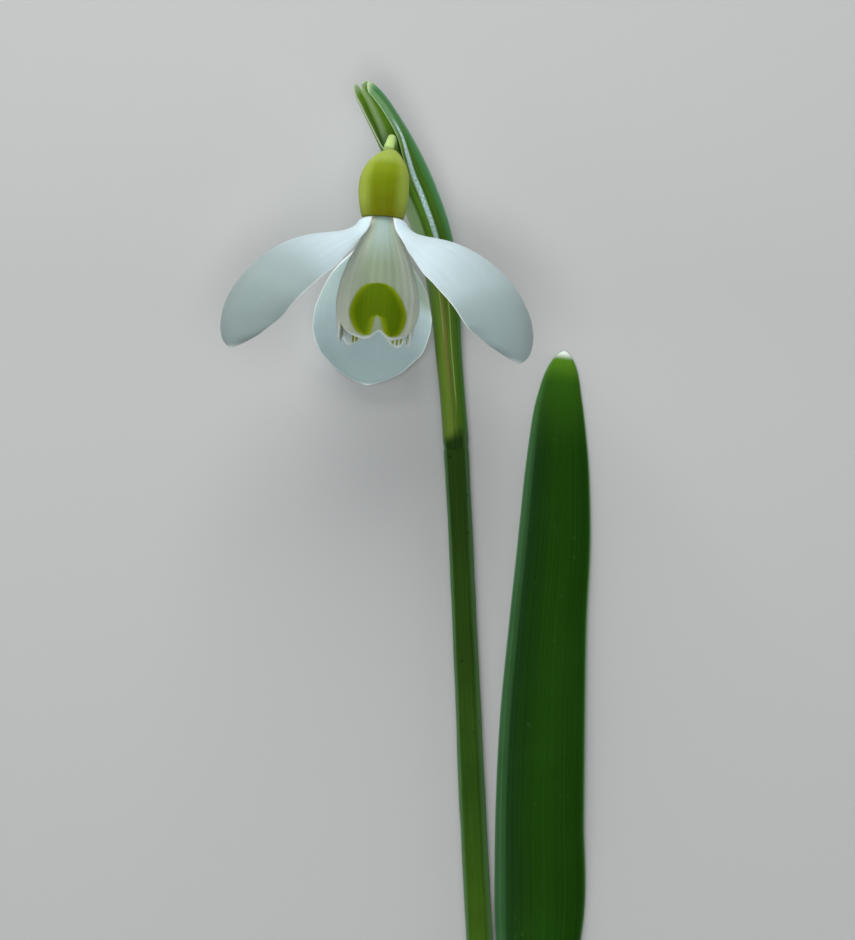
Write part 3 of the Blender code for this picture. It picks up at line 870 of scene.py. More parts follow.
def measure_sheath(place):
    reach = SHEATH_LENGTH / (SCAPE_LINE[-1][1] - CUT_Y)
    point = read_stops(line_stops(SCAPE_LINE), place * reach) + SHEATH_OFFSET * RIGHT
    swell = SHEATH_HALF_HEIGHT * (1.0 + SHEATH_SWELL * math.sin(math.pi * place))
    oval = SHEATH_HALF_WIDTH / SHEATH_HALF_HEIGHT
    return point, RIGHT, UP, swell, math.radians(SHEATH_HALF_ARC), 0.0, oval


def sheath_rim():
    """Stops of a slanted rim that is lowest on the side of the leaf."""
    sides = [tenth / 10.0 for tenth in range(-10, 11)]
    dips = [SHEATH_SLANT * (1.0 + math.cos(math.pi * side)) / 2.0 for side in sides]
    return [(side, 1.0 - dip) for side, dip in zip(sides, dips)]


def waves_across(count, sharpness=1.0):
    """Ridges across a blade: a whole number of them from edge to edge."""
    return lambda across: (0.5 + 0.5 * math.cos(math.pi * count * across)) ** sharpness


def scape_ribs(share):
    """Broad and fine ribs round the stalk, from its underside."""
    return 0.5 * math.cos(math.tau * 7 * share) + 0.25 * math.cos(math.tau * 16 * share)


def spathe_ribs(across):
    """The keels and hollows across the spathe, from its right margin to its left one."""
    keel = math.exp(-(((abs(across) - 0.45) / 0.16) ** 2))
    seam = math.exp(-(((abs(across) - 0.95) / 0.03) ** 2))
    return 0.9 * keel + 0.4 * seam + 0.12 * math.cos(math.pi * 26 * across)


def anther_grooves(share):
    """Four lobes round an anther."""
    return math.cos(math.tau * 4 * share)


# --- Shader groups ------------------------------------------------------------------------------


def streaks_group(w, given):
    """Fine lines that run along a piece, by its two measures and its side."""
    wide, long = given["Across"] * given["Count"], given["Along"] * given["Wander"]
    grain = w.noise(w.joined(wide, long, given["Side"]), 1.0, 3.0, 0.6)
    return {"Lines": grain.eased(0.5 - given["Contrast"], 0.5 + given["Contrast"])}


def margin_group(w, given):
    """How near a blade's edge a point is: 1 at the edge and 0 from a breadth inwards."""
    side = given["Margin"].eased(0.0, given["Breadth"], 1.0, 0.0)
    tip = given["To Rim"].eased(1.0 - given["Tip"], 1.0)
    return {"Edge": w.math("MAXIMUM", side, tip)}


def freckles_group(w, given):
    """Small scattered spots, and broader clouds of tone."""
    feeds = {"Vector": given["Vector"], "Scale": given["Spots"]}
    cells = w.outputs_of(w.node("ShaderNodeTexVoronoi", feeds))
    chosen = w.math("LESS_THAN", w.parted(cells["Color"])[0], given["Share"])
    clouds = w.noise(given["Vector"], given["Clouds"], 3.0, 0.55)
    return {"Spots": cells["Distance"].eased(0.1, 0.42, 1.0, 0.0) * chosen, "Clouds": clouds}


def skin_group(w, given):
    """The height of a plant's skin: cells drawn out along the piece, and its streaks."""
    cells = w.noise(given["Vector"] * given["Stretch"], given["Cells"], 2.0, 0.6)
    return {"Height": cells * given["Cell Share"] + given["Lines"]}


STALK_INPUTS = {
    "Guide": GEOMETRY, "Rows": 120, "Sides": 48, "Cap": 0.02, "Rib Depth": 0.0, "Unevenness": 0.0,
    "Seed": 0.0, "Material": MATERIAL,
}
TREES = {  # kind, function that fills it, inputs and outputs
    "blade on a guide": (
        "GeometryNodeTree",
        blade_tree,
        {
            "Guide": GEOMETRY, "Rows": 120, "Columns": 48, "Wall": 0.0004, "Vein Depth": 0.0,
            "Unevenness": 0.0, "Margin Wave": 0.0, "Crowding": 1.5, "Edge Sharpness": 6.0,
            "Seed": 0.0, "Material": MATERIAL,
        },
        {"Geometry": GEOMETRY},
    ),
    "stalk on a guide": ("GeometryNodeTree", stalk_tree, STALK_INPUTS, {"Geometry": GEOMETRY}),
    "stamens in a ring": (
        "GeometryNodeTree",
        stamen_tree,
        {**STALK_INPUTS, "Count": 6, "Foot": VECTOR, "Turn": ROTATION},
        {"Geometry": GEOMETRY},
    ),
    "streaks": (
        "ShaderNodeTree",
        streaks_group,
        {
            "Across": 0.0, "Along": 0.0, "Side": 0.0, "Count": 20.0, "Wander": 1.5,
            "Contrast": 0.2,
        },
        {"Lines": FLOAT},
    ),
    "margin": (
        "ShaderNodeTree",
        margin_group,
        {"Margin": 0.0, "To Rim": 0.0, "Breadth": 0.0003, "Tip": 0.02},
        {"Edge": FLOAT},
    ),
    "freckles": (
        "ShaderNodeTree",
        freckles_group,
        {"Vector": VECTOR, "Spots": 900.0, "Share": 0.1, "Clouds": 90.0},
        {"Spots": FLOAT, "Clouds": FLOAT},
    ),
    "plant skin": (
        "ShaderNodeTree",
        skin_group,
        {"Vector": VECTOR, "Lines": 0.0, "Cells": 4500.0, "Stretch": VECTOR, "Cell Share": 0.5},
        {"Height": FLOAT},
    ),
}


# --- Finishes -----------------------------------------------------------------------------------

BLADE = ("across", "along", "front")
STALK = ("sideways", "along", "facing")
FINE_BUMP = 0.00006  # metres
DRAWN_OUT = (1.0, 0.35, 1.0)  # skin cells, drawn out along the shoot
FAR_DRAWN_OUT = (1.0, 0.25, 1.0)
SHEEN_ROUGHNESS = 0.3
STALK_GREEN = (34, 62, 10)  # where the spathe sits on the stalk


def labelled(settings):
    """Settings under the names of their sockets."""
    return {key.replace("_", " ").title(): value for key, value in settings.items()}


class Finish:
    """A Principled material under construction. Its base colour is laid in coats."""

    def __init__(self, name):
        self.material = bpy.data.materials.new(name)
        self.material.use_nodes = True
        tree = self.material.node_tree
        self.wiring = Wiring(tree)
        self.inputs = tree.nodes["Principled BSDF"].inputs
        self.vector = self.wiring.read("ShaderNodeTexCoord", output="Object")
        self.base = None

    def measures(self, *names):
        return [self.wiring.attribute(name) for name in names]

    def group(self, name, **feeds):
        node = self.wiring.node("ShaderNodeGroup", labelled(feeds), node_tree=shared_tree(name))
        return self.wiring.outputs_of(node)

    def streaks(self, across, along, side, count, wander, contrast):
        feeds = {"across": across, "along": along, "side": side}
        feeds.update({"count": count, "wander": wander, "contrast": contrast})
        return self.group("streaks", **feeds)["Lines"]

    def margin(self, breadth, tip):
        margin, to_rim = self.measures("margin", "to_rim")
        return self.group("margin", margin=margin, to_rim=to_rim, breadth=breadth, tip=tip)["Edge"]

    def freckles(self, spots, share, clouds):
        feeds = {"spots": spots, "share": share, "clouds": clouds}
        found = self.group("freckles", vector=self.vector, **feeds)
        return found["Spots"], found["Clouds"]

    def coat(self, share, colour):
        """Lays a colour over the base by a share."""
        self.base = self.wiring.mixed(share, self.base, colour)

    def done(self, roughness, lines, cells, share, strength, depth=FINE_BUMP, stretch=DRAWN_OUT,
             glow=None, gloss=None):
        """The finished material. Cells and lines bump its surface. The glow is a weight, radii
        for red, green and blue, and a scale in millimetres. The gloss is an index of refraction,
        a specular level and a sheen."""
        feeds = {"lines": lines, "cells": cells, "cell_share": share, "stretch": stretch}
        height = self.group("plant skin", vector=self.vector, **feeds)["Height"]
        feeds = {"Height": height, "Strength": strength, "Distance": depth}
        bump = self.wiring.read("ShaderNodeBump", feeds)
        ends = {"Base Color": self.base, "Roughness": roughness, "Normal": bump}
        if glow:
            weight, radii, scale = glow
            ends.update({"Subsurface Weight": weight, "Subsurface Radius": radii})
            ends["Subsurface Scale"] = scale * MM
        if gloss:
            ior, level, sheen = gloss
            ends.update({"IOR": ior, "Specular IOR Level": level, "Sheen Weight": sheen})
            ends["Sheen Roughness"] = SHEEN_ROUGHNESS
        for socket, source in ends.items():
            self.wiring.feed(self.inputs[socket], source)
        return self.material


def outer_finish(where, colours):
    """Outer tepals: a cool white, faintly veined, with painted shade towards the tip, and bright at
    the margin.
    """
    finish = Finish(f"outer tepal {where}")
    w = finish.wiring
    across, along, front = finish.measures(*BLADE)
    veins = finish.streaks(across, along, front, 17.0, 1.1, 0.28)
    _, clouds = finish.freckles(1400.0, 0.02, 160.0)
    start, end, most = OUTER_PAINTED_SHADE[where]
    # Painted shade: the white greys towards the tip, which turns away from the light.
    finish.base = w.mixed(along.eased(start, end, 0.0, most), colours.white, colours.painted_tip_shade)
    # Painted shade over the lower part.
    finish.coat(along.band(0.82, 0.03, 0.19) * OUTER_PAINTED_LOW_SHADE[where], (122, 138, 132))
    finish.coat(veins * 0.16, colours.white_shade)
    finish.coat(clouds.eased(0.35, 0.7, 0.0, 0.16), colours.white_shade)
    finish.coat(along.eased(0.0, 0.03, 0.5, 0.0), colours.claw)
    finish.coat(finish.margin(0.0002, 0.02) * 0.65, (250, 252, 252))
    if where == "back":
        # Painted glow: an emission that lights the back tepal, strongest at its foot.
        light = w.mixed(along.eased(0.35, 0.85), (231, 255, 240), (56, 60, 56))
        # Painted shade beside the flower's right-hand inner tepal, which also dims the glow there.
        painted_shade_beside = across.eased(-0.55, -0.35, 1.0, 0.0) * along.eased(0.42, 0.56, 1.0, 0.0)
        finish.coat(painted_shade_beside * 0.8, (188, 200, 178))
        light = w.mixed(painted_shade_beside * 0.8, light, (130, 144, 116))
        w.feed(finish.inputs["Emission Color"], light)
        w.feed(finish.inputs["Emission Strength"], BACK_PAINTED_GLOW)
    return finish.done(
        veins.eased(0.0, 1.0, 0.46, 0.56), veins, 5200.0, 0.6, 0.22,
        glow=(0.5, (0.9, 1.0, 1.0), 0.35), gloss=(1.38, 0.2, 0.0),
    )


def mark_mask(finish, where):
    """The green mark of an inner tepal: a wide arch on two feet, soft at its edge."""
    w = finish.wiring
    down, _, tangent = petal_frame(INNER_PLACES[where][0])
    offset = finish.vector - tuple(np.array(FLOWER_FOOT) * MM + SHIFT)
    aside = w.along_axis(offset, tangent * MARK_CROWDING[where] / MM) - MARK_MIDDLE
    below = w.along_axis(offset, down / MM) - MARK_DROP
    aside = aside + (MARK_LEVEL - below) * MARK_SLANT
    fray = w.noise(w.joined(aside * MARK_FRAY_RUN[0], below * MARK_FRAY_RUN[1], 0.0), 1.0, 2.0)
    below = below + (fray - 0.5) * MARK_FRAY
    within = w.curve(below, MARK_OUTER) - abs(aside)
    beyond = abs(aside + NOTCH_ASIDE) - w.curve(below, MARK_NOTCH)
    soft = (-MARK_SOFTNESS, MARK_SOFTNESS)
    return within.eased(*soft) * beyond.eased(*soft), w.math("MINIMUM", within, beyond)


def inner_finish(where, colours):
    """Inner tepals: greenish grey-white with faint ribs, painted light towards the sides, a white
    rim, and their green marks.
    """
    finish = Finish(f"inner tepal {where}")
    w = finish.wiring
    across, along, front = finish.measures(*BLADE)
    fine = finish.streaks(across, along, front, 40.0, 0.8, 0.25)
    broad = finish.streaks(across, along, front + 4.0, 6.0, 0.4, 0.3)
    ribs = (across * (math.pi * INNER_RIBS)).cosine().eased(-0.6, 0.9)
    ribs = ribs * (along.eased(0.1, 0.4, 0.2, 1.0) * (0.35 + broad * 0.65))
    finish.base = w.mixed(ribs * 0.14 + 0.26, colours.inner_groove, colours.inner_white)
    finish.coat(fine * 0.32, colours.inner_groove)
    claw = along.eased(0.1, 0.45, 0.9, 0.0) * across.band(0.0, 0.15, 0.55)
    finish.coat(claw, colours.inner_claw)
    # Painted light: the tepals are paler towards their sides, which curve away into shade.
    pale = w.mixed(fine * 0.4, (236, 240, 224), colours.inner_white)
    finish.coat(abs(across).eased(0.25, 0.85, 0.0, 0.85), pale)
    share = 1.0
    if where != "front":
        share, back = front, 1.0 - front
        strokes = 0.0
        for middle in SIDE_STROKES[where]:
            stroke = across.band(middle, STROKE_HALF_WIDTH, STROKE_SOFTNESS)
            strokes = w.math("MAXIMUM", strokes, stroke)
        reach = along.eased(0.3, 0.5) * along.eased(0.965, 0.985, 1.0, 0.0)
        # Painted light: the side tepals, which lie in the front tepal's shade, are paled, most on
        # the faces that carry the strokes.
        finish.coat(back * 0.5 + 0.45, (228, 238, 236))
        finish.coat(strokes * reach * back, w.mixed(fine, colours.mark_edge, (176, 190, 70)))
    mask, depth = mark_mask(finish, where)
    green = w.mixed(depth.eased(0.1, 0.9), colours.mark_edge, colours.mark)
    finish.coat(mask * share, w.mixed(fine * 0.2, green, colours.mark_edge))
    finish.coat(finish.margin(0.0003, 0.03) * 0.85, (232, 240, 238))
    return finish.done(
        ribs.eased(0.0, 1.0, 0.62, 0.54), fine, 5200.0, 0.5, 0.2,
        glow=(0.4, (0.9, 1.0, 0.8), 0.3), gloss=(1.38, 0.08, 0.0),
    )


def painted_sheen_strips(sideways):
    """Painted sheen: where the stalk is paler down its left and right sides, as grazing light makes
    it.
    """
    left, right = sideways.band(-0.98, 0.05, 0.24), sideways.band(0.95, 0.12, 0.34) * 0.7
    return sideways.wiring.math("MAXIMUM", left, right) * 0.66


def scape_finish(colours):
    """Stalk: dark green, with painted sheen strips down its sides, fine lines, freckles and a pale
    cut end.
    """
    finish = Finish("scape green")
    w = finish.wiring
    sideways, along, facing = finish.measures(*STALK)
    lines = finish.streaks(sideways, along * 6.0, facing, 9.0, 1.0, 0.2)
    spots, clouds = finish.freckles(1500.0, 0.05, 130.0)
    finish.base = w.ramp(along, [
        (0.0, (78, 108, 30)), (0.18, (62, 98, 16)), (0.5, (42, 78, 12)), (0.72, (38, 68, 10)),
        (0.93, (34, 62, 12)), (1.0, STALK_GREEN),
    ])
    finish.coat(lines * 0.1, colours.pale_rib)
    finish.coat(clouds.eased(0.45, 0.75, 0.0, 0.25), (24, 54, 4))
    # Painted sheen down both sides of the stalk.
    finish.coat(painted_sheen_strips(sideways), colours.painted_sheen)
    finish.coat(spots * along.eased(0.45, 0.8, 0.25, 1.0) * 0.75, (12, 26, 6))
    cut = w.attribute("closing").eased(0.9, 0.99, 1.0, 0.0) * along.eased(0.0, 0.01, 1.0, 0.0)
    finish.coat(cut, colours.cut)
    return finish.done(
        lines.eased(0.0, 1.0, 0.5, 0.62), lines, 4200.0, 0.5, 0.25, stretch=FAR_DRAWN_OUT,
        glow=(0.1, (0.4, 1.0, 0.1), 0.25), gloss=(1.42, 0.05, 0.25),
    )


def spathe_finish(colours):
    """Spathe: two green valves, joined down the front by a pale glossy membrane."""
    finish = Finish("spathe green")
    w = finish.wiring
    across, along, front = finish.measures(*BLADE)
    lines = finish.streaks(across, along, front, 26.0, 1.6, 0.22)
    from_side = across * 0.5 + 0.5
    outside = w.ramp(from_side, [
        (0.0, (150, 172, 70)), (0.012, (96, 130, 30)), (0.05, (56, 92, 8)), (0.11, (62, 104, 18)),
        (0.14, (58, 122, 60)), (0.25, (84, 148, 104)), (0.36, (56, 104, 60)),
        (0.62, (60, 108, 52)), (0.75, (124, 158, 112)), (0.78, (150, 172, 136)),
        (0.92, (140, 168, 120)), (0.945, (56, 92, 10)), (0.97, (78, 124, 22)), (1.0, (92, 132, 40)),
    ], "LINEAR")
    inside = w.ramp(from_side, [
        (0.0, (110, 150, 70)), (0.4, (90, 142, 20)), (0.5, (104, 154, 34)), (0.62, (112, 158, 40)),
        (0.69, (182, 212, 156)), (0.735, (174, 206, 146)), (0.79, (100, 142, 4)),
        (0.9, (112, 158, 8)), (0.955, (120, 158, 70)), (0.985, (214, 222, 196)),
        (1.0, (220, 226, 206)),
    ], "LINEAR")
    low = w.ramp(from_side, [
        (0.0, (98, 122, 36)), (0.05, (70, 104, 12)), (0.14, (52, 96, 14)), (0.2, (58, 108, 50)),
        (0.27, (80, 124, 84)), (0.4, (48, 86, 40)), (0.6, (48, 86, 30)), (0.76, (96, 130, 60)),
        (0.82, (92, 126, 34)), (0.94, (112, 138, 46)), (1.0, (104, 124, 40)),
    ], "LINEAR")
    pale_front = along.eased(0.8, 0.9) * from_side.eased(0.08, 0.16, 1.0, 0.0)
    finish.base = w.mixed(front, inside, w.mixed(pale_front, outside, (116, 160, 112)))
    lower = along.eased(0.36, 0.6, 1.0, 0.0)
    finish.coat(lower * front, low)
    finish.coat(lines * 0.3, colours.pale_rib)

    middle = along.eased(0.62, 0.88, -0.95, -0.87)
    upper = along.eased(0.46, 0.56) * along.eased(0.86, 0.9, 1.0, 0.0)
    depth = along.eased(0.78, 0.9, 0.045, 0.033) - abs(across - middle)
    seam = depth.eased(-0.016, 0.012) * upper * front
    grain = finish.streaks(across, along, front, 60.0, 130.0, 0.2)
    bright = grain.eased(0.1, 0.9, 0.35, 1.0) * depth.eased(-0.004, 0.022, 0.35, 1.0)
    finish.coat(seam, w.mixed(bright, colours.membrane_shade, colours.membrane))
    dry = along.eased(0.13, 0.2) * along.eased(0.34, 0.44, 1.0, 0.0)
    finish.coat(across.band(0.97, 0.03, 0.05) * dry * 0.7, colours.dry_membrane)
    right_ridge = across.band(-0.91, 0.008, 0.014) * (along.eased(0.09, 0.16) * lower)
    left_ridge = across.band(0.91, 0.008, 0.014) * (along.eased(0.27, 0.33) * lower)
    finish.coat((right_ridge + left_ridge) * 0.55, (168, 190, 118))
    rim = finish.margin(0.00014, 0.012) * along.eased(0.7, 0.8)
    finish.coat(rim * 0.8, colours.margin)
    finish.coat(along.eased(0.965, 0.995, 0.0, 0.85), colours.margin)

    # Where it sits on the stalk, the spathe has the stalk's green and the same painted sheen down
    # its sides.
    sideways = (across * math.pi).sine() * -1.0
    collar = (along / sideways.eased(-0.8, 0.8, 0.052, 0.08)).eased(0.4, 1.0, 1.0, 0.0)
    finish.coat(collar, w.mixed(painted_sheen_strips(sideways), STALK_GREEN, colours.painted_sheen))
    return finish.done(
        seam.eased(0.0, 1.0, 0.52, 0.36), lines, 4800.0, 0.4, 0.2,
        glow=(0.25, (0.5, 1.0, 0.2), 0.3), gloss=(1.42, 0.08, 0.3),
    )


def ovary_finish():
    """Ovary: olive green in its middle, painted paler at its sides and top where the light falls,
    with faint upright lines.
    """
    finish = Finish("ovary green")
    sideways, along, facing = finish.measures(*STALK)
    lines = finish.streaks(sideways, along, facing, 7.0, 0.8, 0.3)
    # Darker olive at the foot and paler to the top: partly its own tone, partly painted light on
    # the top, which faces the light.
    finish.base = finish.wiring.ramp(along, [
        (0.0, (104, 104, 4)), (0.2, (104, 114, 4)), (0.5, (112, 130, 6)), (0.72, (130, 148, 24)),
        (0.88, (160, 180, 84)), (1.0, (160, 182, 92)),
    ])
    finish.coat(lines * 0.2, (140, 154, 30))
    # Painted light: the sides are paler where light grazes them.
    side = abs(sideways).eased(0.35, 0.85) * along.eased(0.0, 0.3, 0.35, 0.7)
    finish.coat(side, (168, 186, 82))
    return finish.done(
        lines.eased(0.0, 1.0, 0.5, 0.58), lines, 5000.0, 0.4, 0.15,
        glow=(0.35, (0.9, 1.0, 0.1), 0.5), gloss=(1.42, 0.07, 0.0),
    )


def pedicel_finish():
    """Pedicel: pale yellow-green, with a darker ring where it meets the ovary."""
    finish = Finish("pedicel green")
    sideways, along, facing = finish.measures(*STALK)
    lines = finish.streaks(sideways, along * 4.0, facing, 8.0, 1.0, 0.25)
    finish.base = finish.wiring.mixed(lines * 0.35, (194, 220, 140), (166, 198, 104))
    finish.coat(along.eased(0.9, 0.945, 0.85, 0.0), (100, 146, 44))
    finish.coat(along.band(0.995, 0.0015, 0.003) * 0.6, (120, 144, 60))
    return finish.done(
        lines.eased(0.0, 1.0, 0.4, 0.5), lines, 4200.0, 0.4, 0.2,
        glow=(0.3, (0.8, 1.0, 0.4), 0.3), gloss=(1.4, 0.1, 0.0),
    )


def leaf_finish(colours):
    """Leaf: deep green with a painted grey-green sheen down one side, fine veins and a thin pale
    margin.
    """
    finish = Finish("leaf green")
    w = finish.wiring
    across, along, front = finish.measures(*BLADE)
    lines = finish.streaks(across, along, front, 34.0, 2.2, 0.2)
    broad = finish.streaks(across, along, front + 5.0, 9.0, 0.8, 0.25)
    spots, clouds = finish.freckles(1300.0, 0.03, 140.0)
    # The first stops paint a sheen down the leaf's left side, which curves towards the light.
    finish.base = w.ramp(across * 0.5 + 0.5, [
        (0.0, (78, 128, 88)), (0.08, (74, 120, 74)), (0.16, (26, 60, 26)), (0.3, (20, 58, 10)),
        (0.5, (24, 68, 4)), (0.75, (20, 64, 2)), (0.95, (16, 58, 1)), (1.0, (60, 110, 50)),
    ], "LINEAR")
    finish.coat(lines * 0.25, (50, 92, 20))
    finish.coat(broad * 0.25, (16, 46, 8))
    finish.coat(clouds.eased(0.45, 0.75, 0.0, 0.25), (36, 80, 20))
    finish.coat(spots * 0.12, (90, 120, 70))
    finish.coat(along.eased(0.86, 0.975, 0.0, 0.5), (62, 110, 24))
    finish.coat(along.eased(0.955, 0.992, 0.0, 0.75), (96, 144, 34))
    finish.coat(finish.margin(0.00025, 0.004) * 0.7, colours.leaf_margin)
    finish.coat(along.eased(0.987, 0.998), colours.leaf_tip)
    underside = w.mixed(lines * 0.35, (74, 122, 74), (54, 100, 50))
    finish.coat((1.0 - front) * 0.8, underside)
    finish.coat(along.eased(0.02, 0.14, 0.75, 0.0), (176, 190, 120))
    finish.coat(w.attribute("to_rim").eased(0.0, 0.006, 1.0, 0.0), colours.cut)
    return finish.done(
        lines.eased(0.0, 1.0, 0.46, 0.6), lines, 4200.0, 0.5, 0.35, 0.0001, FAR_DRAWN_OUT,
        glow=(0.08, (0.4, 1.0, 0.1), 0.25), gloss=(1.42, 0.04, 0.2),
    )


def sheath_finish():
    """Basal sheath: a pale, papery skin with fine veins."""
    finish = Finish("sheath pale")
    across, along, front = finish.measures(*BLADE)
    lines = finish.streaks(across, along, front, 30.0, 1.2, 0.2)
    _, clouds = finish.freckles(900.0, 0.06, 220.0)
    stops = [(0.0, (226, 224, 200)), (0.55, (214, 216, 178)), (1.0, (190, 198, 140))]
    finish.base = finish.wiring.ramp(along, stops)
    finish.coat(lines * 0.4, (186, 186, 140))
    finish.coat(clouds.eased(0.5, 0.8, 0.0, 0.4), (196, 184, 140))
    finish.coat(finish.margin(0.0003, 0.05) * 0.5, (168, 150, 104))
    return finish.done(
        lines.eased(0.0, 1.0, 0.42, 0.55), lines, 4200.0, 0.4, 0.35, 0.0001,
        glow=(0.35, (1.0, 0.9, 0.6), 0.5),
    )


def stamen_finish(colours):
    """Stamens: pale threads that carry orange, grooved anthers."""
    finish = Finish("stamen orange")
    sideways, along, facing = finish.measures(*STALK)
    lines = finish.streaks(sideways, along, facing, 6.0, 3.0, 0.25)
    anther = finish.wiring.mixed(lines * 0.4, colours.anther, (214, 132, 30))
    finish.base = finish.wiring.mixed(along.eased(0.2, 0.27), (226, 232, 214), anther)
    finish.coat(along.eased(0.92, 1.0, 0.0, 0.6), (240, 214, 120))
    return finish.done(lines.eased(0.0, 1.0, 0.5, 0.65), lines, 6500.0, 0.6, 0.3, 0.00005)


def style_finish():
    """Style: white, with a green tip."""
    finish = Finish("style white")
    sideways, along, facing = finish.measures(*STALK)
    lines = finish.streaks(sideways, along, facing, 6.0, 2.0, 0.25)
    finish.base = finish.wiring.mixed(lines * 0.2, (226, 232, 218), (200, 212, 186))
    finish.coat(along.eased(0.7, 1.0, 0.0, 0.6), (150, 176, 80))
    return finish.done(
        lines.eased(0.0, 1.0, 0.4, 0.5), lines, 6000.0, 0.5, 0.2, 0.00005,
        glow=(0.3, (1.0, 1.0, 0.8), 0.3),
    )


def floor_finish(stage):
    """The table: a matte pale paper with a faint tooth."""
    finish = Finish("table paper")
    _, clouds = finish.freckles(300.0, 0.0, 3.0)
    finish.base = finish.wiring.mixed(clouds, stage.table, stage.table * 0.94)
    rough = clouds.eased(0.3, 0.7, 0.8, 0.86)
    return finish.done(rough, clouds, 900.0, 0.5, 0.08, 0.0002, (1.0, 1.0, 1.0))


# --- Settings -----------------------------------------------------------------------------------


def colour_setting(label, description, *everyday):
    return FloatVectorProperty(
        name=label, description=description, default=tint(*everyday), subtype="COLOR", size=3,
        min=0.0, max=1.0,
    )


def length_setting(label, description, default, largest=0.01):
    return FloatProperty(
        name=label, description=description, default=default, min=0.0, max=largest,
        subtype="DISTANCE", unit="LENGTH", precision=5,
    )


def power_setting(label, description, default):
    return FloatProperty(name=label, description=description, default=default, min=0.0)


class SnowdropTepals(bpy.types.PropertyGroup):
    """Sizes and colours of the white tepals"""

    outer_wall: length_setting("Outer Wall", "Thickness of an outer tepal in its middle", 0.00045)
    inner_wall: length_setting("Inner Wall", "Thickness of an inner tepal in its middle", 0.00035)
    vein_depth: length_setting("Vein Depth", "Height of the veins of an outer tepal", 0.00002)
    rib_depth: length_setting("Rib Depth", "Height of the ribs of an inner tepal", 0.00003)
    unevenness: length_setting("Unevenness", "How far a tepal strays from its even shape", 0.00012)
    margin_wave: length_setting("Margin Wave", "How far the margins of a tepal swing", 0.00025)
    white: colour_setting("White", "The white of the tepals", 222, 242, 250)
    # Painted shade: the grey that the outer tepals take towards their tips.
    painted_tip_shade: colour_setting("Painted Tip Shade", "The white of the tip of an outer tepal", 156, 173, 171)
    white_shade: colour_setting("Shade White", "The white of the veins and hollows", 162, 176, 178)
    claw: colour_setting("Claw", "The foot of an outer tepal", 224, 232, 222)
    inner_white: colour_setting("Rib White", "The ribs of an inner tepal", 178, 188, 164)
    inner_groove: colour_setting("Groove", "The grooves between the ribs", 132, 148, 122)
    inner_claw: colour_setting("Inner Claw", "The foot of an inner tepal", 172, 194, 188)
    mark: colour_setting("Mark", "The green mark of the inner tepals", 84, 112, 2)
    mark_edge: colour_setting("Mark Edge", "The soft edge of the green mark", 130, 148, 10)


class SnowdropGreens(bpy.types.PropertyGroup):
    """Sizes and colours of the stalk, the spathe, the leaf and their sheath"""

    leaf_wall: length_setting("Leaf Wall", "Thickness of the leaf in its middle", 0.0006)
    spathe_wall: length_setting("Spathe Wall", "Thickness of the spathe's valves", 0.0003)
    sheath_wall: length_setting("Sheath Wall", "Thickness of the basal sheath", 0.0004)
    leaf_vein_depth: length_setting("Leaf Vein Depth", "Height of the veins of the leaf", 0.00005)
    scape_rib_depth: length_setting("Stalk Rib Depth", "Height of the ribs of the stalk", 0.00008)
    pale_rib: colour_setting("Pale Rib", "The paler lines on the greens", 104, 136, 60)
    # Painted sheen: the grey-green laid down the sides of the stalk where light grazes them.
    painted_sheen: colour_setting("Painted Sheen", "The grey-green bloom", 92, 132, 84)
    membrane: colour_setting("Membrane", "The bright grain of the spathe's seam", 206, 232, 234)
    membrane_shade: colour_setting(
        "Membrane Shade", "The dark grain of the spathe's seam", 112, 152, 126
    )
    dry_membrane: colour_setting("Dry Membrane", "The lower seam of the spathe", 124, 118, 60)
    margin: colour_setting("Margin", "The margins of the spathe", 190, 212, 170)
    leaf_tip: colour_setting("Leaf Tip", "The hooded tip of the leaf", 246, 255, 246)
    leaf_margin: colour_setting("Leaf Margin", "The thin margin of the leaf", 130, 170, 120)
    cut: colour_setting("Cut", "The flesh at the cut end", 196, 212, 150)
    anther: colour_setting("Anther", "The anthers of the stamens", 236, 168, 48)


class SnowdropStage(bpy.types.PropertyGroup):
    """The table, the light and the camera"""

    table: colour_setting("Table", "The paper on the table", 198, 199, 198)
    table_half: length_setting("Table Half Width", "Half the width of the table", 1.5, 5.0)
    key_watts: power_setting("Key Power", "Power of the main soft light", 1.5)
    fill_watts: power_setting("Fill Power", "Power of the overhead light", 2.0)
    rim_watts: power_setting("Rim Power", "Power of each side light", 0.5)
    sky: power_setting("Room Light", "Strength of the light from the room", 0.15)
    camera_height: length_setting(
        "Camera Height", "How high the camera is above the table", 0.52, 5.0
    )
    lens: FloatProperty(
        name="Lens", description="Focal length of the camera", default=168.5,
        subtype="DISTANCE_CAMERA",
    )


# --- Operators ----------------------------------------------------------------------------------


def make_piece(name, tree, guide, slot, *nodes, sharp_degrees=None, **settings):
    """Grows a piece on its guide and ties it to the frame in the stead of its CAD nodes."""
    piece = grown(name, shared_tree(tree), guide, labelled(settings), sharp_degrees)
    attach(piece, "root")
    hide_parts(*(nodes or (name,)))


class PieceOperator:
    """What the operators that make pieces have in common"""

    bl_options = {"REGISTER", "UNDO"}

    def execute(self, context):
        self.build(context.scene.snowdrop_tepals, context.scene.snowdrop_greens)
        return {"FINISHED"}


class SNOWDROP_OT_scape(PieceOperator, bpy.types.Operator):
    """Makes the ribbed stalk that carries the flower"""

    bl_idname = "snowdrop.scape"
    bl_label = "Stalk"

    def build(self, tepals, greens):
        guide = stalk_guide("scape", measure_scape, scape_ribs)
        make_piece(
            "scape", "stalk on a guide", guide, "scape_green", sharp_degrees=50,
            rows=300, sides=96, cap=0.004, rib_depth=greens.scape_rib_depth,
            unevenness=0.00012, seed=3.0, material=scape_finish(greens),
        )


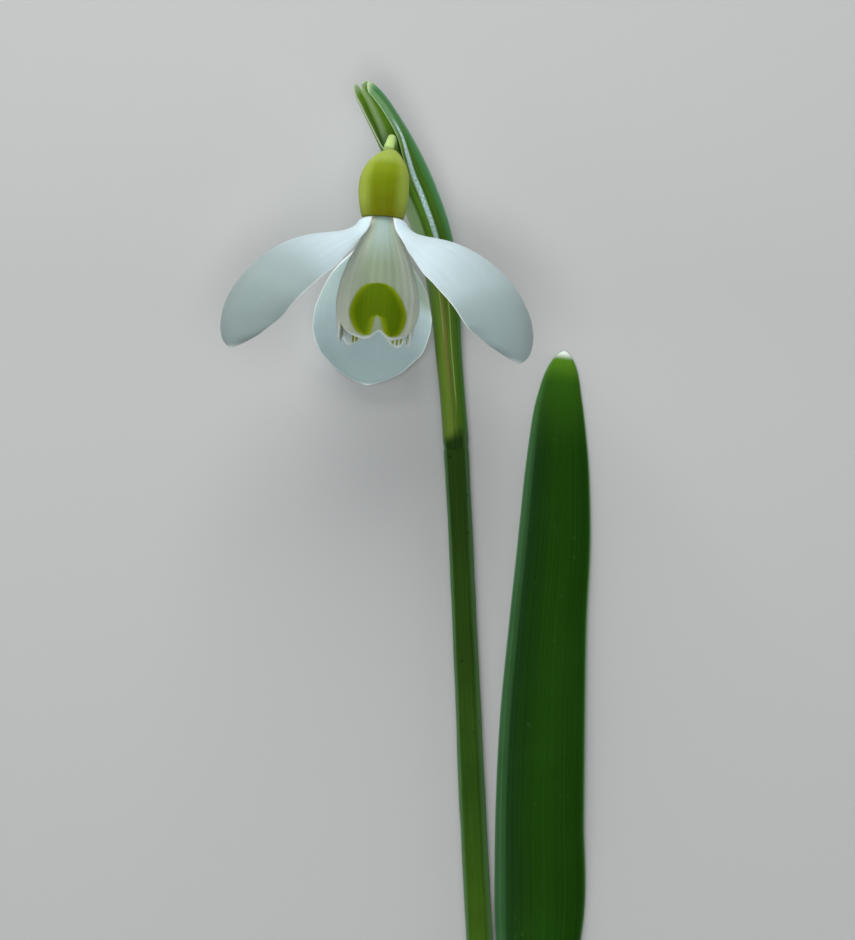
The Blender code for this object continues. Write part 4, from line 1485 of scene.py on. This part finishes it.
class SNOWDROP_OT_spathe(PieceOperator, bpy.types.Operator):
    """Makes the two valves of the spathe and the membrane between them"""

    bl_idname = "snowdrop.spathe"
    bl_label = "Spathe"

    def build(self, tepals, greens):
        guide = blade_guide(
            "spathe", measure_spathe, spathe_ribs, SPATHE_RIB_RUN, SPATHE_RIM, SPATHE_THICKNESS
        )
        make_piece(
            "spathe", "blade on a guide", guide, "spathe_green",
            rows=240, columns=84, wall=greens.spathe_wall, vein_depth=0.00012,
            unevenness=0.00005, seed=11.0, crowding=1.3, edge_sharpness=22.0,
            material=spathe_finish(greens),
        )


class SNOWDROP_OT_pedicel(PieceOperator, bpy.types.Operator):
    """Makes the thread that hooks over and holds the flower"""

    bl_idname = "snowdrop.pedicel"
    bl_label = "Pedicel"

    def build(self, tepals, greens):
        make_piece(
            "pedicel", "stalk on a guide", stalk_guide("pedicel", measure_pedicel),
            "pedicel_green", rows=220, sides=32, cap=0.004, unevenness=0.00003, seed=5.0,
            material=pedicel_finish(),
        )


class SNOWDROP_OT_ovary(PieceOperator, bpy.types.Operator):
    """Makes the ovary, a green drop on top of the flower"""

    bl_idname = "snowdrop.ovary"
    bl_label = "Ovary"

    def build(self, tepals, greens):
        make_piece(
            "ovary", "stalk on a guide", stalk_guide("ovary", measure_ovary), "ovary_green",
            sharp_degrees=60, rows=110, sides=96, cap=0.05, unevenness=0.00006, seed=7.0,
            material=ovary_finish(),
        )


class SNOWDROP_OT_outer_tepals(PieceOperator, bpy.types.Operator):
    """Makes the three white outer tepals"""

    bl_idname = "snowdrop.outer_tepals"
    bl_label = "Outer Tepals"

    def build(self, tepals, greens):
        for number, where in enumerate(OUTER_AZIMUTHS):
            name = f"outer_tepal_{where}"
            guide = blade_guide(
                name, outer_measure(where), waves_across(OUTER_VEINS), OUTER_VEIN_RUN,
                thickness=OUTER_THICKNESS, foot=OUTER_FOOT[where],
            )
            make_piece(
                name, "blade on a guide", guide, "outer_white",
                rows=130, columns=52, crowding=1.5, wall=tepals.outer_wall,
                vein_depth=tepals.vein_depth, unevenness=tepals.unevenness,
                margin_wave=tepals.margin_wave, seed=20.0 + 7.0 * number,
                material=outer_finish(where, tepals),
            )


class SNOWDROP_OT_inner_tepals(PieceOperator, bpy.types.Operator):
    """Makes the three notched inner tepals with their green marks"""

    bl_idname = "snowdrop.inner_tepals"
    bl_label = "Inner Tepals"

    def build(self, tepals, greens):
        for number, where in enumerate(INNER_PLACES):
            name = f"inner_tepal_{where}"
            ribs = waves_across(INNER_RIBS, INNER_RIB_SHARPNESS)
            guide = blade_guide(name, inner_measure(where), ribs, INNER_RIB_RUN, INNER_RIM)
            make_piece(
                name, "blade on a guide", guide, "inner_white",
                rows=90, columns=90, crowding=1.25, wall=tepals.inner_wall,
                vein_depth=tepals.rib_depth, unevenness=0.5 * tepals.unevenness,
                margin_wave=0.5 * tepals.margin_wave, seed=50.0 + 7.0 * number,
                material=inner_finish(where, tepals),
            )


class SNOWDROP_OT_stamens(PieceOperator, bpy.types.Operator):
    """Makes the ring of stamens inside the flower"""

    bl_idname = "snowdrop.stamens"
    bl_label = "Stamens"

    def build(self, tepals, greens):
        down, front, right = flower_frame()
        axes = Matrix((front, right, -down)).transposed()
        guide = stalk_guide(
            "stamens", measure_stamen, anther_grooves, ANTHER_RUN, SHORT_GUIDE_POINTS
        )
        nodes = [f"stamen_{number}" for number in range(1, STAMEN_COUNT + 1)]
        make_piece(
            "stamens", "stamens in a ring", guide, "anther_orange", *nodes,
            rows=90, sides=28, cap=0.01, rib_depth=0.00006, seed=9.0, count=STAMEN_COUNT,
            unevenness=0.00002, material=stamen_finish(greens),
            foot=tuple(np.array(FLOWER_FOOT) * MM + SHIFT), turn=tuple(axes.to_euler()),
        )


class SNOWDROP_OT_style(PieceOperator, bpy.types.Operator):
    """Makes the style in the middle of the stamens"""

    bl_idname = "snowdrop.style"
    bl_label = "Style"

    def build(self, tepals, greens):
        guide = stalk_guide("style", measure_style, count=SHORT_GUIDE_POINTS)
        make_piece(
            "style", "stalk on a guide", guide, "style_white",
            rows=60, sides=24, cap=0.03, unevenness=0.00001, material=style_finish(),
        )


class SNOWDROP_OT_leaf(PieceOperator, bpy.types.Operator):
    """Makes the strap-shaped leaf"""

    bl_idname = "snowdrop.leaf"
    bl_label = "Leaf"

    def build(self, tepals, greens):
        guide = blade_guide(
            "leaf", measure_leaf, waves_across(LEAF_VEINS), LEAF_VEIN_RUN,
            thickness=LEAF_THICKNESS,
        )
        make_piece(
            "leaf", "blade on a guide", guide, "leaf_green",
            rows=330, columns=92, wall=greens.leaf_wall, vein_depth=greens.leaf_vein_depth,
            unevenness=0.0001, seed=31.0, crowding=1.5, material=leaf_finish(greens),
        )


class SNOWDROP_OT_basal_sheath(PieceOperator, bpy.types.Operator):
    """Makes the pale sheath round the feet of the stalk and the leaf"""

    bl_idname = "snowdrop.basal_sheath"
    bl_label = "Basal Sheath"

    def build(self, tepals, greens):
        guide = blade_guide(
            "basal_sheath", measure_sheath, waves_across(SHEATH_VEINS), rim=sheath_rim()
        )
        make_piece(
            "basal_sheath", "blade on a guide", guide, "sheath_pale",
            rows=70, columns=120, wall=greens.sheath_wall, vein_depth=0.00004,
            unevenness=0.00005, seed=43.0, material=sheath_finish(),
        )


class SNOWDROP_OT_stage(bpy.types.Operator):
    """Makes the table, the lights and the camera"""

    bl_idname = "snowdrop.stage"
    bl_label = "Stage"

    def execute(self, context):
        stage = context.scene.snowdrop_stage
        low, high = CAD_BOX
        make_table(stage, low.z)
        make_lights(stage, (low + high) / 2)
        make_camera(stage)
        make_room(stage)
        return {"FINISHED"}


def make_table(stage, height):
    half = stage.table_half
    mesh = bpy.data.meshes.new("table")
    corners = [(x * half, y * half, height) for x, y in ((-1, -1), (1, -1), (1, 1), (-1, 1))]
    mesh.from_pydata(corners, [], [(0, 1, 2, 3)])
    mesh.materials.append(floor_finish(stage))
    table = bpy.data.objects.new("table", mesh)
    bpy.context.scene.collection.objects.link(table)


def make_lights(stage, middle):
    flower = Vector((middle.x + FLOWER_AT[0], middle.y + FLOWER_AT[1], FLOWER_AT[2]))
    for name, (place, at_flower, width, height, watts, colour) in LIGHTS.items():
        light = bpy.data.lights.new(name, "AREA")
        light.shape = "RECTANGLE"
        light.size, light.size_y = width, height
        light.energy, light.color = getattr(stage, watts), colour
        made = bpy.data.objects.new(name, light)
        made.location = flower + Vector(place)
        aim = (flower if at_flower else middle) - made.location
        made.rotation_euler = aim.to_track_quat("-Z", "Y").to_euler()
        made.visible_camera = False
        bpy.context.scene.collection.objects.link(made)


def make_camera(stage):
    """Looks straight down on the shoot. The picture ends a little above its cut end."""
    camera = bpy.data.cameras.new("camera")
    camera.lens = stage.lens
    camera.clip_start, camera.clip_end = CAMERA_REACH
    made = bpy.data.objects.new("camera", camera)
    aim = np.array(PICTURE_MIDDLE) * MM + SHIFT
    made.location = (aim[0], aim[1], stage.camera_height)
    bpy.context.scene.collection.objects.link(made)
    bpy.context.scene.camera = made


def make_room(stage):
    world = bpy.data.worlds.new("room")
    world.use_nodes = True
    background = world.node_tree.nodes["Background"]
    background.inputs["Color"].default_value = ROOM_COLOUR
    background.inputs["Strength"].default_value = stage.sky
    bpy.context.scene.world = world
    bpy.context.scene.view_settings.view_transform = "Standard"


class SNOWDROP_PT_panel(bpy.types.Panel):
    """Lists the settings and the operators that make the snowdrop"""

    bl_label = "Snowdrop"
    bl_idname = "SNOWDROP_PT_panel"
    bl_space_type = "VIEW_3D"
    bl_region_type = "UI"
    bl_category = "Snowdrop"

    def draw(self, context):
        for settings in SETTINGS:
            group = getattr(context.scene, settings)
            box = self.layout.box()
            for name in group.__annotations__:
                box.prop(group, name)
        for operator in OPERATORS:
            self.layout.operator(operator.bl_idname)


SETTINGS = {
    "snowdrop_tepals": SnowdropTepals,
    "snowdrop_greens": SnowdropGreens,
    "snowdrop_stage": SnowdropStage,
}
OPERATORS = (
    SNOWDROP_OT_stage,
    SNOWDROP_OT_scape,
    SNOWDROP_OT_spathe,
    SNOWDROP_OT_pedicel,
    SNOWDROP_OT_ovary,
    SNOWDROP_OT_outer_tepals,
    SNOWDROP_OT_inner_tepals,
    SNOWDROP_OT_stamens,
    SNOWDROP_OT_style,
    SNOWDROP_OT_leaf,
    SNOWDROP_OT_basal_sheath,
)


def register():
    for cls in (*SETTINGS.values(), *OPERATORS, SNOWDROP_PT_panel):
        bpy.utils.register_class(cls)
    for name, cls in SETTINGS.items():
        setattr(bpy.types.Scene, name, PointerProperty(type=cls))


def unregister():
    for name in SETTINGS:
        delattr(bpy.types.Scene, name)
    for cls in (SNOWDROP_PT_panel, *reversed(OPERATORS), *SETTINGS.values()):
        bpy.utils.unregister_class(cls)


def main():
    register()
    bpy.ops.snowdrop.stage()
    bpy.ops.snowdrop.scape()
    bpy.ops.snowdrop.spathe()
    bpy.ops.snowdrop.pedicel()
    bpy.ops.snowdrop.ovary()
    bpy.ops.snowdrop.outer_tepals()
    bpy.ops.snowdrop.inner_tepals()
    bpy.ops.snowdrop.stamens()
    bpy.ops.snowdrop.style()
    bpy.ops.snowdrop.leaf()
    bpy.ops.snowdrop.basal_sheath()


if __name__ == "__main__":
    main()
